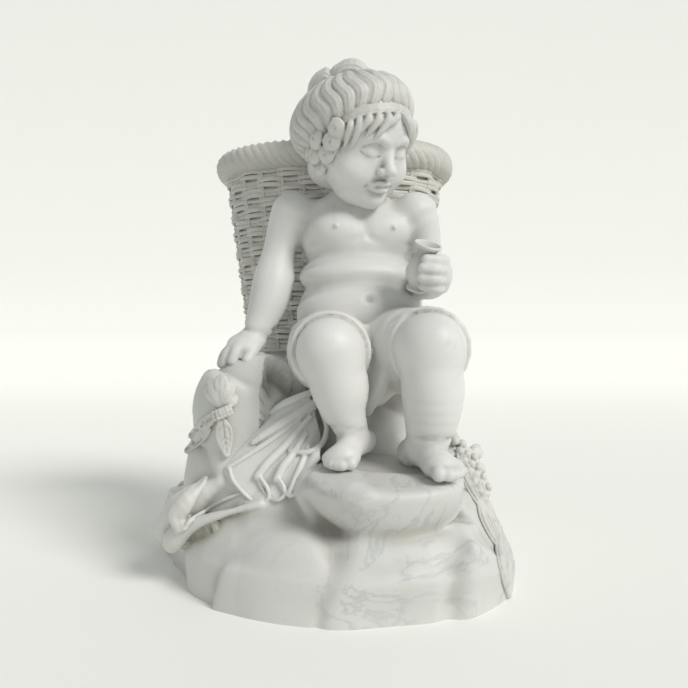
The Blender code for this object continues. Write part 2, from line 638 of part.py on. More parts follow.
def wound(place, rings, caps=(True, True)):
    """A closed skin over rings of points, in metres in the frame of place, from the first to the last."""
    bm = bmesh.new()
    loops = [[bm.verts.new(place @ Vector(point)) for point in ring] for ring in rings]
    for low, high in zip(loops, loops[1:]):
        for i in range(len(low)):
            j = (i + 1) % len(low)
            bm.faces.new((low[i], low[j], high[j], high[i]))
    for loop, ring, cap in ((loops[0], rings[0], caps[0]), (loops[-1], rings[-1], caps[1])):
        middle = bm.verts.new(place @ Vector(np.mean(ring, axis=0)))
        for i in range(len(loop)):
            bm.faces.new((loop[i], loop[(i + 1) % len(loop)], middle))
    bmesh.ops.recalc_face_normals(bm, faces=bm.faces)
    bmesh.ops.triangulate(bm, faces=bm.faces)
    mesh = bpy.data.meshes.new("wound")
    bm.to_mesh(mesh)
    bm.free()
    return mesh


def oval(half_width, half_depth, height, relief):
    """A ring of points on a broad oval, each moved out by its relief."""
    angle = 2 * math.pi * np.arange(len(relief)) / len(relief)
    x = np.sign(np.cos(angle)) * np.abs(np.cos(angle)) ** (2 / OVAL_POWER)
    y = np.sign(np.sin(angle)) * np.abs(np.sin(angle)) ** (2 / OVAL_POWER)
    return np.stack([x * (half_width + relief), y * (half_depth + relief), np.full(len(relief), height)], 1)


def basket_mesh():
    count = 2 * WEAVE_STAKES
    number = np.arange(count)
    rope = RIM_THICKNESS / 2
    wall_width = RIM_WIDTH / 2 - rope
    wall_depth = RIM_DEPTH / 2 - rope
    rings = []
    for row in range(WEAVE_ROWS + 1):
        drop = (BASKET_HEIGHT - rope) * (1 - row / WEAVE_ROWS) + rope
        weave = WEAVE_RELIEF * np.where((number + row) % 2, 1.0, -1.0) * (0 < row < WEAVE_ROWS)
        shrink = BASKET_TAPER * (drop - rope)
        rings.append(oval(wall_width - shrink, wall_depth - shrink, -drop, weave))
    # The rope rim, with its wraps slanting round it
    for turn in np.radians((-60, -15, 30, 75, 120, 165)):
        wrap = 0.0025 * np.where((number + round(turn * 2)) % 2, 1.0, -1.0)
        out = (rope + wrap) * math.cos(turn)
        rings.append(oval(wall_width, wall_depth, rope * math.sin(turn), out))
    inner = BASKET_WALL
    rings.append(oval(wall_width - inner, wall_depth - inner, -rope * 0.7, np.zeros(count)))
    floor = BASKET_TAPER * HOLLOW_DEPTH + inner
    rings.append(oval(wall_width - floor, wall_depth - floor, -HOLLOW_DEPTH, np.zeros(count)))
    place = (Matrix.Translation((BASKET_X, BASKET_Y, SEAT_HEIGHT + BASKET_STEP + BASKET_HEIGHT))
             @ Matrix.Rotation(math.radians(BASKET_YAW), 4, "Z") @ Matrix.Rotation(math.radians(BASKET_LEAN), 4, "X"))
    return wound(place, rings)


def jug_mesh():
    profile = ((JUG_FOOT_RADIUS, 0), (JUG_FOOT_RADIUS, 0.05), (JUG_FOOT_RADIUS * 0.85, 0.09), (JUG_BODY_RADIUS, 0.35),
               (JUG_BODY_RADIUS * 0.9, 0.55), (JUG_NECK_RADIUS, 0.76), (JUG_NECK_RADIUS, 0.84),
               (JUG_MOUTH_RADIUS, 0.96), (JUG_MOUTH_RADIUS, 1.0), (JUG_MOUTH_RADIUS - JUG_WALL, 1.0),
               (JUG_NECK_RADIUS - JUG_WALL, 0.85), (JUG_NECK_RADIUS - JUG_WALL, 1 - JUG_HOLLOW / JUG_HEIGHT))
    angle = 2 * math.pi * np.arange(JUG_SIDES) / JUG_SIDES
    rings = [np.stack([radius * np.cos(angle), radius * np.sin(angle), np.full(JUG_SIDES, height * JUG_HEIGHT)], 1)
             for radius, height in profile]
    foot = POSE @ Vector((118, -96, 428))
    mouth = POSE @ Vector((134, -124, 490))
    place = Matrix.Translation(foot) @ (mouth - foot).to_track_quat("Z", "Y").to_matrix().to_4x4()
    return wound(place, rings)


def cloth_mesh():
    """The end of the cloth, which runs down over the rock in folds and turns over at its hem."""
    tops = [(-35, -85, 282), (-34, -87, 272), (-32, -90, 265), (-29, -93, 257), (-27, -95, 249), (-24, -99, 238),
            (-22, -102, 228), (-19, -105, 215), (-18, -110, 204)]
    hem = [(-126, -82, 206), (-140, -98, 192), (-156, -112, 174), (-146, -125, 158), (-126, -134, 143),
           (-99, -142, 130), (-86, -140, 138), (-94, -130, 150), (-106, -120, 164), (-100, -130, 158),
           (-90, -142, 146), (-80, -150, 136), (-70, -152, 136), (-64, -148, 148), (-70, -138, 161),
           (-66, -148, 152), (-58, -158, 142), (-45, -160, 150), (-32, -152, 174), (-18, -142, 190)]
    tops = smooth_path([(*row, 0) for row in tops], 6)[:, :3]
    hem = smooth_path([(*row, 0) for row in hem], 4)[:, :3]
    across = np.linspace(0, 1, 90)

    def along(path):
        length = np.concatenate([[0], np.cumsum(np.linalg.norm(np.diff(path, axis=0), axis=1))])
        return np.stack([np.interp(across, length / length[-1], path[:, i]) for i in range(3)], 1)

    upper, lower = along(tops), along(hem)
    bm = bmesh.new()
    rows = []
    for t in np.linspace(0, 1, 16):
        sag = np.array((0, -6, 8)) * math.sin(math.pi * t)
        rows.append([bm.verts.new(POSE @ Vector(p)) for p in upper + (lower - upper) * t + sag])
    for high, low in zip(rows, rows[1:]):
        for i in range(len(high) - 1):
            bm.faces.new((high[i], high[i + 1], low[i + 1], low[i]))
    mesh = bpy.data.meshes.new("cloth")
    bm.to_mesh(mesh)
    bm.free()
    obj = new_object("cloth", mesh)
    thick = obj.modifiers.new("thick", "SOLIDIFY")
    thick.thickness = 0.010
    thick.offset = 0
    mesh = remeshed(evaluated_mesh(obj), CLOTH_VOXEL)
    return mesh


def joined(objects):
    """One solid from overlapping ones."""
    first = objects[0]
    for other in objects[1:]:
        modifier = first.modifiers.new("join", "BOOLEAN")
        modifier.operation = "UNION"
        modifier.solver = "EXACT"
        modifier.object = other
        first = new_object("form", evaluated_mesh(first))
        bpy.data.objects.remove(other)
    return first


def cut_flat(obj):
    """Cuts the underside flat at the floor."""
    bm = bmesh.new()
    bmesh.ops.create_cube(bm, size=2.0, matrix=Matrix.Translation((0, 0, 1.0)))
    mesh = bpy.data.meshes.new("room")
    bm.to_mesh(mesh)
    bm.free()
    room = new_object("room", mesh)
    modifier = obj.modifiers.new("floor", "BOOLEAN")
    modifier.operation = "INTERSECT"
    modifier.solver = "EXACT"
    modifier.object = room
    flat = new_object("form", evaluated_mesh(obj))
    bpy.data.objects.remove(room)
    return flat


def build():
    for obj in list(bpy.data.objects):
        bpy.data.objects.remove(obj)
    forms = [thinned(rock_mesh(), ROCK_TRIANGLES), new_object("form", basket_mesh()),
             thinned(clay_mesh(figure_clay(), FIGURE_VOXEL), FIGURE_TRIANGLES),
             thinned(clay_mesh(head_clay(), HEAD_VOXEL), HEAD_TRIANGLES),
             thinned(cloth_mesh(), CLOTH_TRIANGLES), new_object("form", jug_mesh())]
    statue = cut_flat(joined(forms))
    # Pockets left between the forms are marble too.
    keep_largest_shell(statue.data)
    statue.name = "child_statue"
    material = bpy.data.materials.new("marble")
    material.use_nodes = True
    material.node_tree.nodes["Principled BSDF"].inputs["Base Color"].default_value = MARBLE
    statue.data.materials.clear()
    statue.data.materials.append(material)
    collection = bpy.data.collections.new("child statue")
    bpy.context.scene.collection.children.link(collection)
    for owner in list(statue.users_collection):
        owner.objects.unlink(statue)
    collection.objects.link(statue)


build()
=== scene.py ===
"""The marble statue of a seated child, its basket and its rock, as finished surfaces.

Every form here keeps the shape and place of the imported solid, and adds the finer carving: the face,
hair, fingers, cloth folds, woven wicker, leaves and grapes. Lengths are in metres, +Z is up, and the
child faces -Y. Poses are written in millimetres.

The soft forms are built as clay: round lumps, each known by its distance from any point, that melt
into one another. A rough mesh of beads is moved onto the melted surface.
"""

import math

import bmesh
import bpy
import numpy as np
from mathutils import Euler, Matrix, Vector
from mathutils.bvhtree import BVHTree


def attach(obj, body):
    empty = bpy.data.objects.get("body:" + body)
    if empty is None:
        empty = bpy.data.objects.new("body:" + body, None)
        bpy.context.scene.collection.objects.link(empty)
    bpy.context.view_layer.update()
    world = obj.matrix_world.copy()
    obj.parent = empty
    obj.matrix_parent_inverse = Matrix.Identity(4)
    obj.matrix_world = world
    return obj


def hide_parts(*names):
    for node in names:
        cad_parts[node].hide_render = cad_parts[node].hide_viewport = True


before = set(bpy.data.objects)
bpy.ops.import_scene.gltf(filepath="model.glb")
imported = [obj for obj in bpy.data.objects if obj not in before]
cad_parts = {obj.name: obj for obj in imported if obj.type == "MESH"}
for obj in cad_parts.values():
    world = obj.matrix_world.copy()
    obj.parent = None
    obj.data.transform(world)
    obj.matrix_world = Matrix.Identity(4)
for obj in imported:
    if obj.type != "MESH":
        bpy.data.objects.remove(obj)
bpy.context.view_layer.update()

# The child. Its model's sitting height is MODEL_SITTING, and its seat is at MODEL_SEAT.
SITTING_HEIGHT = 0.470
MODEL_SITTING = 470.0
MODEL_SEAT = (36.0, 12.0, 288.0)
SEAT_HEIGHT = 0.288
SEAT_X = 0.036
SEAT_Y = 0.012
TORSO_TURN = 10.0
HEAD_CENTRE = (37.0, -40.0, 664.0)
HEAD_LEAN = -6.6
HEAD_TURN = 36.0
HEAD_BOW = 27.0
BAND_TILT = -37.0

# The rock. Its model is as wide and deep as its contour at the floor.
BASE_WIDTH = 0.567
BASE_DEPTH = 0.567
BASE_HEIGHT = 0.104
BASE_ROUNDING = 0.030
BASE_TAPER = 0.45
ROCK_FACETS = 130
ROCK_SEED = 11
FACET_EDGE = 0.0009
ROCK_RELIEF = 0.09

# The basket stands this far above the seat.
BASKET_STEP = 0.046
RIM_WIDTH = 0.438
RIM_DEPTH = 0.262
RIM_THICKNESS = 0.052
BASKET_HEIGHT = 0.336
BASKET_TAPER = 0.150
BASKET_WALL = 0.022
HOLLOW_DEPTH = 0.230
BASKET_X = -0.004
BASKET_Y = 0.192
BASKET_YAW = -8.0
BASKET_LEAN = -4.0
OVAL_POWER = 2.5

# The jug in its hand
JUG_HEIGHT = 0.071
JUG_FOOT_RADIUS = 0.0140
JUG_HOLLOW = 0.024

# The weave, finer than in the solid
STAKE_PAIRS = 26
STAKE_RADIUS = 0.0034
WEAVERS = 38
WEAVER_RADIUS = 0.0042
WEAVE_DEPTH = 0.0034
WALL_FACE = -0.004
RIM_WITHIES = 7
WITHY_RADIUS = 0.0082
RIM_TURNS = 10

# How finely each form is cut
FIGURE_VOXEL = 0.0030
HEAD_VOXEL = 0.0018
HAIR_VOXEL = 0.0018
ROCK_VOXEL = 0.0042
CLOTH_VOXEL = 0.0022
LEAF_VOXEL = 0.0016
FAR_OFF = 1.0
NEARBY = 0.012

# Colours and the camera
SKIN_COLOUR = (0.71, 0.71, 0.685, 1)
ROCK_COLOUR = (0.67, 0.67, 0.64, 1)
WICKER_COLOUR = (0.62, 0.61, 0.56, 1)
HAIR_COLOUR = (0.66, 0.655, 0.62, 1)
VEIN_COLOUR = (0.40, 0.42, 0.43, 1)
# Brown for the dirt specks, and for the patina and painted shade in the hollows
GRIME_AND_SHADE_COLOUR = (0.27, 0.25, 0.19, 1)
PAPER_COLOUR = (0.90, 0.905, 0.865, 1)
SKY_STRENGTH = 0.44
KEY_STRENGTH = 2.2
KEY_DIRECTION = (0.62, -0.55, 0.62)
CAMERA_PLACE = (0.015, -1.110, 0.350)
CAMERA_LENS = 36.63

# How the camera sees the rock: half the picture's width, the pixels that a metre takes up a metre away,
# and the stretch of a line of sight that is searched, in metres
HALF_FRAME = 344
PIXELS_A_METRE = 700
SIGHT_FROM = 0.75
SIGHT_TO = 1.6
SIGHT_STEP = 0.0015

# How far the clay's surface lies from a mesh that it is laid on
SHEET_REACH = 0.0015

MILLIMETRE = 0.001
WORLD_MILLIMETRES = Matrix.Scale(MILLIMETRE, 4)
MODEL_BASE = 0.567
MODEL_SEAT_HEIGHT = 0.288

POSE_SCALE = SITTING_HEIGHT / MODEL_SITTING
POSE = (Matrix.Translation((SEAT_X, SEAT_Y, SEAT_HEIGHT)) @ Matrix.Scale(POSE_SCALE, 4)
        @ Matrix.Translation(-Vector(MODEL_SEAT)))
TORSO = POSE @ Matrix.Translation(MODEL_SEAT) @ Matrix.Rotation(math.radians(TORSO_TURN), 4, "Z")
HEAD = (POSE @ Matrix.Translation(HEAD_CENTRE) @ Matrix.Rotation(math.radians(HEAD_LEAN), 4, "Y")
        @ Matrix.Rotation(math.radians(HEAD_TURN), 4, "Z")
        @ Matrix.Rotation(math.radians(HEAD_BOW), 4, "X"))
BAND = HEAD @ Matrix.Translation((0, 8, -6)) @ Matrix.Rotation(math.radians(BAND_TILT), 4, "X")

ROCK = (Matrix.Diagonal((BASE_WIDTH / MODEL_BASE, BASE_DEPTH / MODEL_BASE,
                         SEAT_HEIGHT / MODEL_SEAT_HEIGHT, 1))
        @ Matrix.Scale(MILLIMETRE, 4))

# The grapes' places on the rock, in millimetres, and their radius
GRAPES = ((185, 2, 190), (197, 10, 177), (216, 6, 172), (205, -2, 157), (226, 8, 152), (215, -4, 137),
          (236, 6, 131), (224, -6, 117), (241, 4, 111), (232, 2, 98), (206, 26, 182), (226, 30, 166),
          (238, 30, 146), (244, 28, 124), (240, 30, 102))
GRAPE_RADIUS = 13

# The rock's contour at the floor, in millimetres, going round from the front
CONTOUR = ((-40, -235), (22, -247), (84, -247), (134, -241), (182, -216), (217, -171), (249, -122),
           (262, -60), (266, 0), (262, 80), (245, 180), (200, 265), (110, 312), (0, 320), (-110, 312),
           (-200, 275), (-262, 205), (-296, 150), (-301, 91), (-267, 24), (-221, -72), (-183, -145),
           (-121, -196))
CONTOUR_CENTRE = (-18.0, 36.0)


def melt(a, b, soft):
    """The nearer of two distances, rounded where they are within soft of each other."""
    if soft <= 0:
        return np.minimum(a, b)
    h = np.maximum(soft - np.abs(a - b), 0) / soft
    return np.minimum(a, b) - h * h * soft / 4


def smooth_path(rows, steps):
    """A smooth curve through rows of x, y, z and radius."""
    rows = np.array(rows, float)
    if len(rows) == 2:
        return rows
    padded = np.vstack([2 * rows[0] - rows[1], rows, 2 * rows[-1] - rows[-2]])
    path = []
    for before, start, end, after in zip(padded, padded[1:], padded[2:], padded[3:]):
        for t in np.arange(steps) / steps:
            bend = 2 * before - 5 * start + 4 * end - after
            twist = 3 * start - before - 3 * end + after
            path.append(start + 0.5 * ((end - before) * t + bend * t**2 + twist * t**3))
    path.append(rows[-1])
    return np.array(path)


class Clay:
    """Round lumps melted into one another, measured as a distance from any points."""

    def __init__(self):
        self.place = Matrix.Identity(4)
        self.lumps = []
        self.beads = []
        self.rough = []

    def add(self, distance, low, high, soft, cut, place):
        corners = [place @ Vector((x, y, z)) for x in (low[0], high[0])
                   for y in (low[1], high[1]) for z in (low[2], high[2])]
        corners = np.array([tuple(corner) for corner in corners])
        scale = place.median_scale
        inverse = np.array(place.inverted())

        def at(points):
            return scale * distance(points @ inverse[:3, :3].T + inverse[:3, 3])

        reach = soft * scale + NEARBY
        self.lumps.append((at, corners.min(0) - reach, corners.max(0) + reach, soft * scale, cut))

    def ball(self, centre, radii, turn=(0, 0, 0), soft=10, cut=False, relief=None):
        """An ellipsoid. relief gives a height to carve away at each of its points."""
        radii = np.array([radii] * 3 if np.isscalar(radii) else radii, float)
        spin = Euler([math.radians(a) for a in turn]).to_matrix().to_4x4()
        place = self.place @ Matrix.Translation(centre) @ spin

        def distance(p):
            near = np.linalg.norm(p / radii, axis=1)
            slope = np.linalg.norm(p / radii**2, axis=1)
            d = near * (near - 1) / np.maximum(slope, 1e-9)
            return d + relief(p) if relief else d

        self.add(distance, -radii, radii, soft, cut, place)
        if not cut:
            self.beads.append(place @ Matrix.Diagonal((*radii, 1)))

    def limb(self, rows, soft=8, cut=False, steps=3, end=None):
        """A tube through rows of x, y, z and radius. end=(point, direction) cuts it off square there."""
        path = smooth_path(rows, steps)
        a, b = path[:-1], path[1:]
        if end:
            stop, way = np.array(end[0], float), np.array(Vector(end[1]).normalized())

        def distance(p):
            best = np.full(len(p), np.inf)
            for start, finish in zip(a, b):
                along = finish[:3] - start[:3]
                t = np.clip((p - start[:3]) @ along / max(along @ along, 1e-9), 0, 1)
                gap = p - start[:3] - t[:, None] * along
                d = np.sqrt(np.einsum("ij,ij->i", gap, gap)) - start[3] - t * (finish[3] - start[3])
                best = np.minimum(best, d)
            return -melt(-best, -((p - stop) @ way), 4) if end else best

        reach = path[:, 3].max()
        self.add(distance, path[:, :3].min(0) - reach, path[:, :3].max(0) + reach, soft, cut,
                 self.place)
        if cut:
            return
        for start, finish in zip(a, b):
            spacing = max(0.5 * min(start[3], finish[3]), 2.0)
            count = 1 + int(np.linalg.norm(finish[:3] - start[:3]) / spacing)
            for t in np.arange(count + 1) / count:
                row = start + t * (finish - start)
                self.beads.append(self.place @ Matrix.Translation(row[:3]) @ Matrix.Scale(row[3], 4))

    def form(self, distance, low, high, soft=0, cut=False):
        """Any other shape, given by its own distance within a box."""
        self.add(distance, np.array(low, float), np.array(high, float), soft, cut, self.place)

    def distance(self, points):
        total = np.full(len(points), FAR_OFF)
        for at, low, high, soft, cut in self.lumps:
            near = ((points > low) & (points < high)).all(1)
            if near.any():
                d = at(points[near])
                total[near] = -melt(-total[near], d, soft) if cut else melt(total[near], d, soft)
        return total

    def settle(self, points, steps=2, most=0.006, nudge=0.0004):
        """Moves points onto the melted surface."""
        for _ in range(steps):
            d = self.distance(points)
            ahead = [self.distance(points + nudge * np.eye(3)[i]) for i in range(3)]
            slope = np.stack([near - d for near in ahead], 1) / nudge
            step = slope * (d / np.maximum(np.einsum("ij,ij->i", slope, slope), 0.3))[:, None]
            length = np.linalg.norm(step, axis=1, keepdims=True)
            points = points - step * np.minimum(1, most / np.maximum(length, 1e-9))
        return points

    def round_at(self, place, angle, height, lift=0.0):
        """The surface's point at an angle from the front, and a height, in the frame of place."""
        turn = math.radians(angle)
        ray = Vector((math.sin(turn), -math.cos(turn), 0))
        distance = 150.0
        for _ in range(24):
            spot = place @ (ray * distance + Vector((0, 0, height)))
            gap = self.distance(np.array([tuple(spot)]))[0] / place.median_scale
            distance -= max(-8.0, min(8.0, gap))
        return ray * (distance + lift) + Vector((0, 0, height))


def new_object(name, mesh):
    obj = bpy.data.objects.new(name, mesh)
    bpy.context.scene.collection.objects.link(obj)
    return obj


def evaluated_mesh(obj):
    """The object's mesh with its modifiers applied. The object itself goes."""
    graph = bpy.context.evaluated_depsgraph_get()
    mesh = bpy.data.meshes.new_from_object(obj.evaluated_get(graph))
    bpy.data.objects.remove(obj)
    return mesh


def keep_largest_shell(mesh):
    """Deletes every loose part of the mesh but the one with the most points."""
    bm = bmesh.new()
    bm.from_mesh(mesh)
    left = set(bm.verts)
    shells = []
    while left:
        shell = [left.pop()]
        for vert in shell:
            for edge in vert.link_edges:
                other = edge.other_vert(vert)
                if other in left:
                    left.remove(other)
                    shell.append(other)
        shells.append(shell)
    shells.sort(key=len)
    bmesh.ops.delete(bm, geom=[vert for shell in shells[:-1] for vert in shell], context="VERTS")
    bm.to_mesh(mesh)
    bm.free()


def remeshed(mesh, voxel, every_shell=False):
    obj = new_object("rough", mesh)
    modifier = obj.modifiers.new("voxels", "REMESH")
    modifier.mode = "VOXEL"
    modifier.voxel_size = voxel
    fine = evaluated_mesh(obj)
    bpy.data.meshes.remove(mesh)
    if not every_shell:
        keep_largest_shell(fine)
    return fine


def points_of(mesh):
    flat = np.empty(len(mesh.vertices) * 3, np.float32)
    mesh.vertices.foreach_get("co", flat)
    return flat.reshape(-1, 3).astype(float)


def set_points(mesh, points):
    mesh.vertices.foreach_set("co", points.astype(np.float32).ravel())
    mesh.update()


def bead_mesh(beads, rough):
    """A round bead at each place, and any rough blocks, all in one mesh."""
    bm = bmesh.new()
    bmesh.ops.create_icosphere(bm, subdivisions=2, radius=1.0)
    ball = np.array([vert.co for vert in bm.verts])
    faces = np.array([[vert.index for vert in face.verts] for face in bm.faces])
    bm.free()
    places = np.array([np.array(bead) for bead in beads])
    points = np.einsum("nij,vj->nvi", places[:, :3, :3], ball) + places[:, None, :3, 3]
    faces = faces + len(ball) * np.arange(len(beads))[:, None, None]
    mesh = bpy.data.meshes.new("beads")
    mesh.from_pydata(points.reshape(-1, 3).tolist(), [], faces.reshape(-1, 3).tolist())
    bm = bmesh.new()
    bm.from_mesh(mesh)
    for block in rough:
        block.to_mesh(mesh)
        block.free()
        bm.from_mesh(mesh)
    bm.to_mesh(mesh)
    bm.free()
    return mesh


def clay_mesh(clay, voxel, passes=2, every_shell=False):
    """The clay's surface as a mesh: remeshed from its beads and moved onto the melted form."""
    mesh = bead_mesh(clay.beads, clay.rough)
    for _ in range(passes):
        mesh = remeshed(mesh, voxel, every_shell)
        set_points(mesh, clay.settle(points_of(mesh)))
    return mesh


def shape_torso(clay):
    clay.place = TORSO
    clay.ball((0, 6, 52), (98, 76, 58), soft=0)
    for side in (-1, 1):
        clay.ball((45 * side, 24, 40), (52, 56, 42), soft=25)
    clay.ball((0, -20, 112), (99, 74, 62), soft=26)
    clay.ball((0, -12, 168), (94, 66, 38), soft=12)
    clay.ball((0, -2, 226), (88, 60, 60), soft=16)
    for side in (-1, 1):
        clay.ball((40 * side, -36, 240), (37, 27, 28), soft=14)
        clay.ball((40 * side, 34, 230), (38, 26, 52), soft=25)
    clay.ball((0, 8, 268), (84, 44, 34), soft=25)
    clay.limb([(0, 10, 275, 42), (0, -14, 318, 36)], soft=24)
    # Folds of the belly, the breasts' lower edges, the navel and the nipples
    clay.limb([(-104, -10, 128, 3), (-70, -64, 146, 4), (-20, -84, 158, 4), (25, -84, 158, 4),
               (72, -60, 146, 4),
               (104, -8, 132, 3)], soft=14, cut=True)
    clay.limb([(-98, -10, 176, 3), (-62, -58, 190, 4), (-10, -76, 203, 4), (40, -72, 198, 4),
               (82, -40, 184, 3)],
              soft=12, cut=True)
    for side in (-1, 1):
        clay.limb([(84 * side, -30, 218, 4), (62 * side, -60, 210, 4), (36 * side, -68, 212, 4),
                   (8 * side, -64, 224, 3)], soft=8, cut=True)
    clay.ball((2, -97, 130), (9, 8, 5), soft=9, cut=True)
    clay.ball((2, -93, 127), (4, 10, 3), soft=3, cut=True)
    for side in (-1, 1):
        clay.ball((45 * side, -64, 240), 3.4, soft=3)
    clay.limb([(0, -60, 262, 3), (0, -66, 235, 3)], soft=16, cut=True)


def shape_arms(clay):
    clay.place = POSE
    # The right arm reaches down to the rock.
    clay.limb([(-66, 12, 556, 37), (-78, 10, 530, 30), (-87, 6, 503, 25.5), (-92, 2, 477, 28),
               (-96, -5, 451, 32),
               (-101, -12, 425, 31), (-108, -18, 402, 27), (-116, -24, 380, 22.5)], soft=14)
    clay.limb([(-116, -24, 380, 20), (-128, -34, 358, 18)], soft=6)
    clay.ball((-136, -38, 352), (27, 30, 14), turn=(20, 10, -30), soft=8)
    clay.limb([(-136, -10, 386, 2), (-140, -34, 376, 2), (-124, -50, 370, 2), (-100, -46, 368, 2),
               (-94, -26, 372, 2), (-104, -4, 380, 2), (-136, -10, 386, 2)], soft=6, cut=True)
    for finger in (((-116, -34, 355, 11), (-122, -52, 342, 9.5), (-130, -64, 326, 8)),
                   ((-138, -46, 352, 10), (-146, -60, 340, 9), (-152, -64, 325, 7.6)),
                   ((-146, -42, 351, 10), (-159, -54, 337, 8.6), (-166, -54, 321, 7.4)),
                   ((-149, -32, 350, 9.5), (-166, -40, 335, 8.2), (-173, -38, 320, 7)),
                   ((-148, -20, 350, 9), (-166, -24, 336, 7.6), (-174, -20, 322, 6.4))):
        clay.limb(finger, soft=3.5)
    # The left arm is bent forward with the jug.
    clay.limb([(128, 8, 555, 37), (141, 9, 525, 28), (145, 8, 492, 26), (147, 2, 455, 29),
               (147, -35, 448, 29),
               (147, -68, 450, 24), (148, -86, 453, 20)], soft=14)
    clay.ball((157, -100, 450), (13, 24, 26), turn=(0, 0, 8), soft=10)
    for finger in (((158, -108, 469, 9), (148, -130, 467, 8.4), (130, -136, 467.5, 7.6)),
                   ((160, -108, 456, 9), (146, -134, 453.5, 8.4), (125, -137, 455.5, 7.6)),
                   ((159, -106, 443, 9), (145, -131, 440, 8.2), (123, -133, 443, 7.2)),
                   ((156, -104, 431, 8.6), (144, -124, 428, 7.6), (126, -124, 431.5, 6.6)),
                   ((150, -88, 458, 11), (132, -84, 468, 10), (114, -94, 476, 8))):
        clay.limb(finger, soft=2.5)


def shape_legs(clay):
    clay.place = POSE
    # The right leg
    clay.limb([(-8, 10, 335, 60), (-8, -70, 338, 55), (-3, -135, 338, 47), (-3, -152, 337, 45)],
              soft=22)
    clay.limb([(-3, -152, 337, 45), (4, -152, 312, 41), (9.5, -148, 290, 40), (14, -145, 262, 31),
               (25, -138, 234, 23), (28, -132, 222, 23)], soft=10)
    clay.ball((-8, -166, 350), (28, 26, 26), soft=22)
    clay.limb([(42, -110, 212, 19), (28, -134, 211, 20), (15, -172, 200, 18)], soft=8)
    clay.ball((10, -172, 197), (25, 17, 13), soft=12)
    for x, y, z, radius in ((24, -190, 193, 9), (13, -193, 190.5, 7.2), (6, -191, 190, 6.6),
                            (-1, -187, 190.5, 6.2),
                            (-7, -180, 191, 5.6)):
        clay.limb([(x * 0.8 + 4, -170, 197, radius), (x, y, z, radius)], soft=3)
    clay.limb([(4, -168, 236, 2), (30, -166, 232, 2), (52, -142, 232, 2), (50, -116, 232, 2),
               (26, -106, 232, 2),
               (4, -118, 234, 2), (-2, -146, 236, 2), (4, -168, 236, 2)], soft=6, cut=True)
    # The left leg
    clay.limb([(84, 5, 335, 60), (106, -85, 341, 57), (129, -145, 343, 49), (132, -160, 342, 47)],
              soft=22)
    clay.limb([(132, -160, 342, 47), (133, -165, 315, 42.5), (135, -165, 285, 42.5),
               (134, -160, 250, 37),
               (131, -152, 226, 31), (128, -146, 214, 29)], soft=10)
    clay.ball((136, -178, 354), (28, 26, 26), soft=22)
    clay.limb([(111, -116, 196, 21), (124, -140, 204, 24), (140, -188, 191, 18)], soft=10)
    clay.ball((146, -186, 188), (27, 20, 14), soft=12)
    for x, y, z, radius in ((137, -212, 183, 10.2), (149, -213, 182, 8.4), (157.5, -210, 182, 7.4),
                            (165, -205, 182.5, 6.6), (171, -197, 184, 6)):
        clay.limb([(x * 0.8 + 28, -186, 190, radius), (x, y, z, radius)], soft=3)
    clay.limb([(100, -176, 222, 2.2), (130, -186, 226, 2.2), (160, -172, 222, 2.2),
               (164, -140, 222, 2.2),
               (140, -112, 220, 2.2), (106, -116, 220, 2.2), (94, -146, 220, 2.2),
               (100, -176, 222, 2.2)],
              soft=6, cut=True)


def shape_lap_cloth(clay):
    """The cloth wrapped over both thighs, with its folds between them."""
    clay.place = POSE
    clay.limb([(-8, 20, 332, 66), (-8, -70, 338, 62), (-4, -110, 338, 57), (-3, -150, 338, 53)], soft=4,
              end=((-5, -140, 338), (0.0, -1, 0.12)))
    clay.limb([(84, 5, 335, 66), (104, -80, 341, 63), (126, -128, 343, 57), (133, -168, 342, 54)],
              soft=4,
              end=((128, -148, 343), (0.25, -1, 0.12)))
    # Its rolled edges round the knees
    for x, y, z, across, deep in ((-4, -139, 339, 54, 0), (129, -147, 343, 56, -14)):
        edge = []
        for turn in np.radians(np.linspace(-135, 135, 15)):
            edge.append((x + across * math.sin(turn), y + deep * math.sin(turn) - 6 * math.cos(turn),
                         z + across * math.cos(turn), 3.6))
        clay.limb(edge, soft=3, steps=1)
    for fold in (((144, -60, 396, 7), (105, -80, 388, 9), (74, -95, 363, 10), (55, -100, 327, 10),
                  (44, -95, 291, 9),
                  (41, -85, 268, 8)),
                 ((161, -95, 388, 7), (116, -110, 381, 8), (87, -120, 356, 10), (68, -115, 320, 11),
                  (52, -105, 281, 10), (44, -95, 262, 9)),
                 ((178, -118, 377, 6), (128, -130, 377, 7), (93, -130, 358, 9), (77, -125, 320, 10),
                  (62, -115, 285, 10), (48, -100, 255, 9)),
                 ((-64, -20, 338, 6), (-60, -50, 366, 6), (-48, -84, 376, 6), (-18, -108, 385, 6),
                  (18, -104, 384, 7),
                  (44, -92, 368, 8))):
        clay.limb(fold, soft=7)
    clay.ball((60, -82, 318), (36, 34, 60), soft=14)


def figure_clay():
    clay = Clay()
    shape_torso(clay)
    shape_arms(clay)
    shape_legs(clay)
    shape_lap_cloth(clay)
    return clay


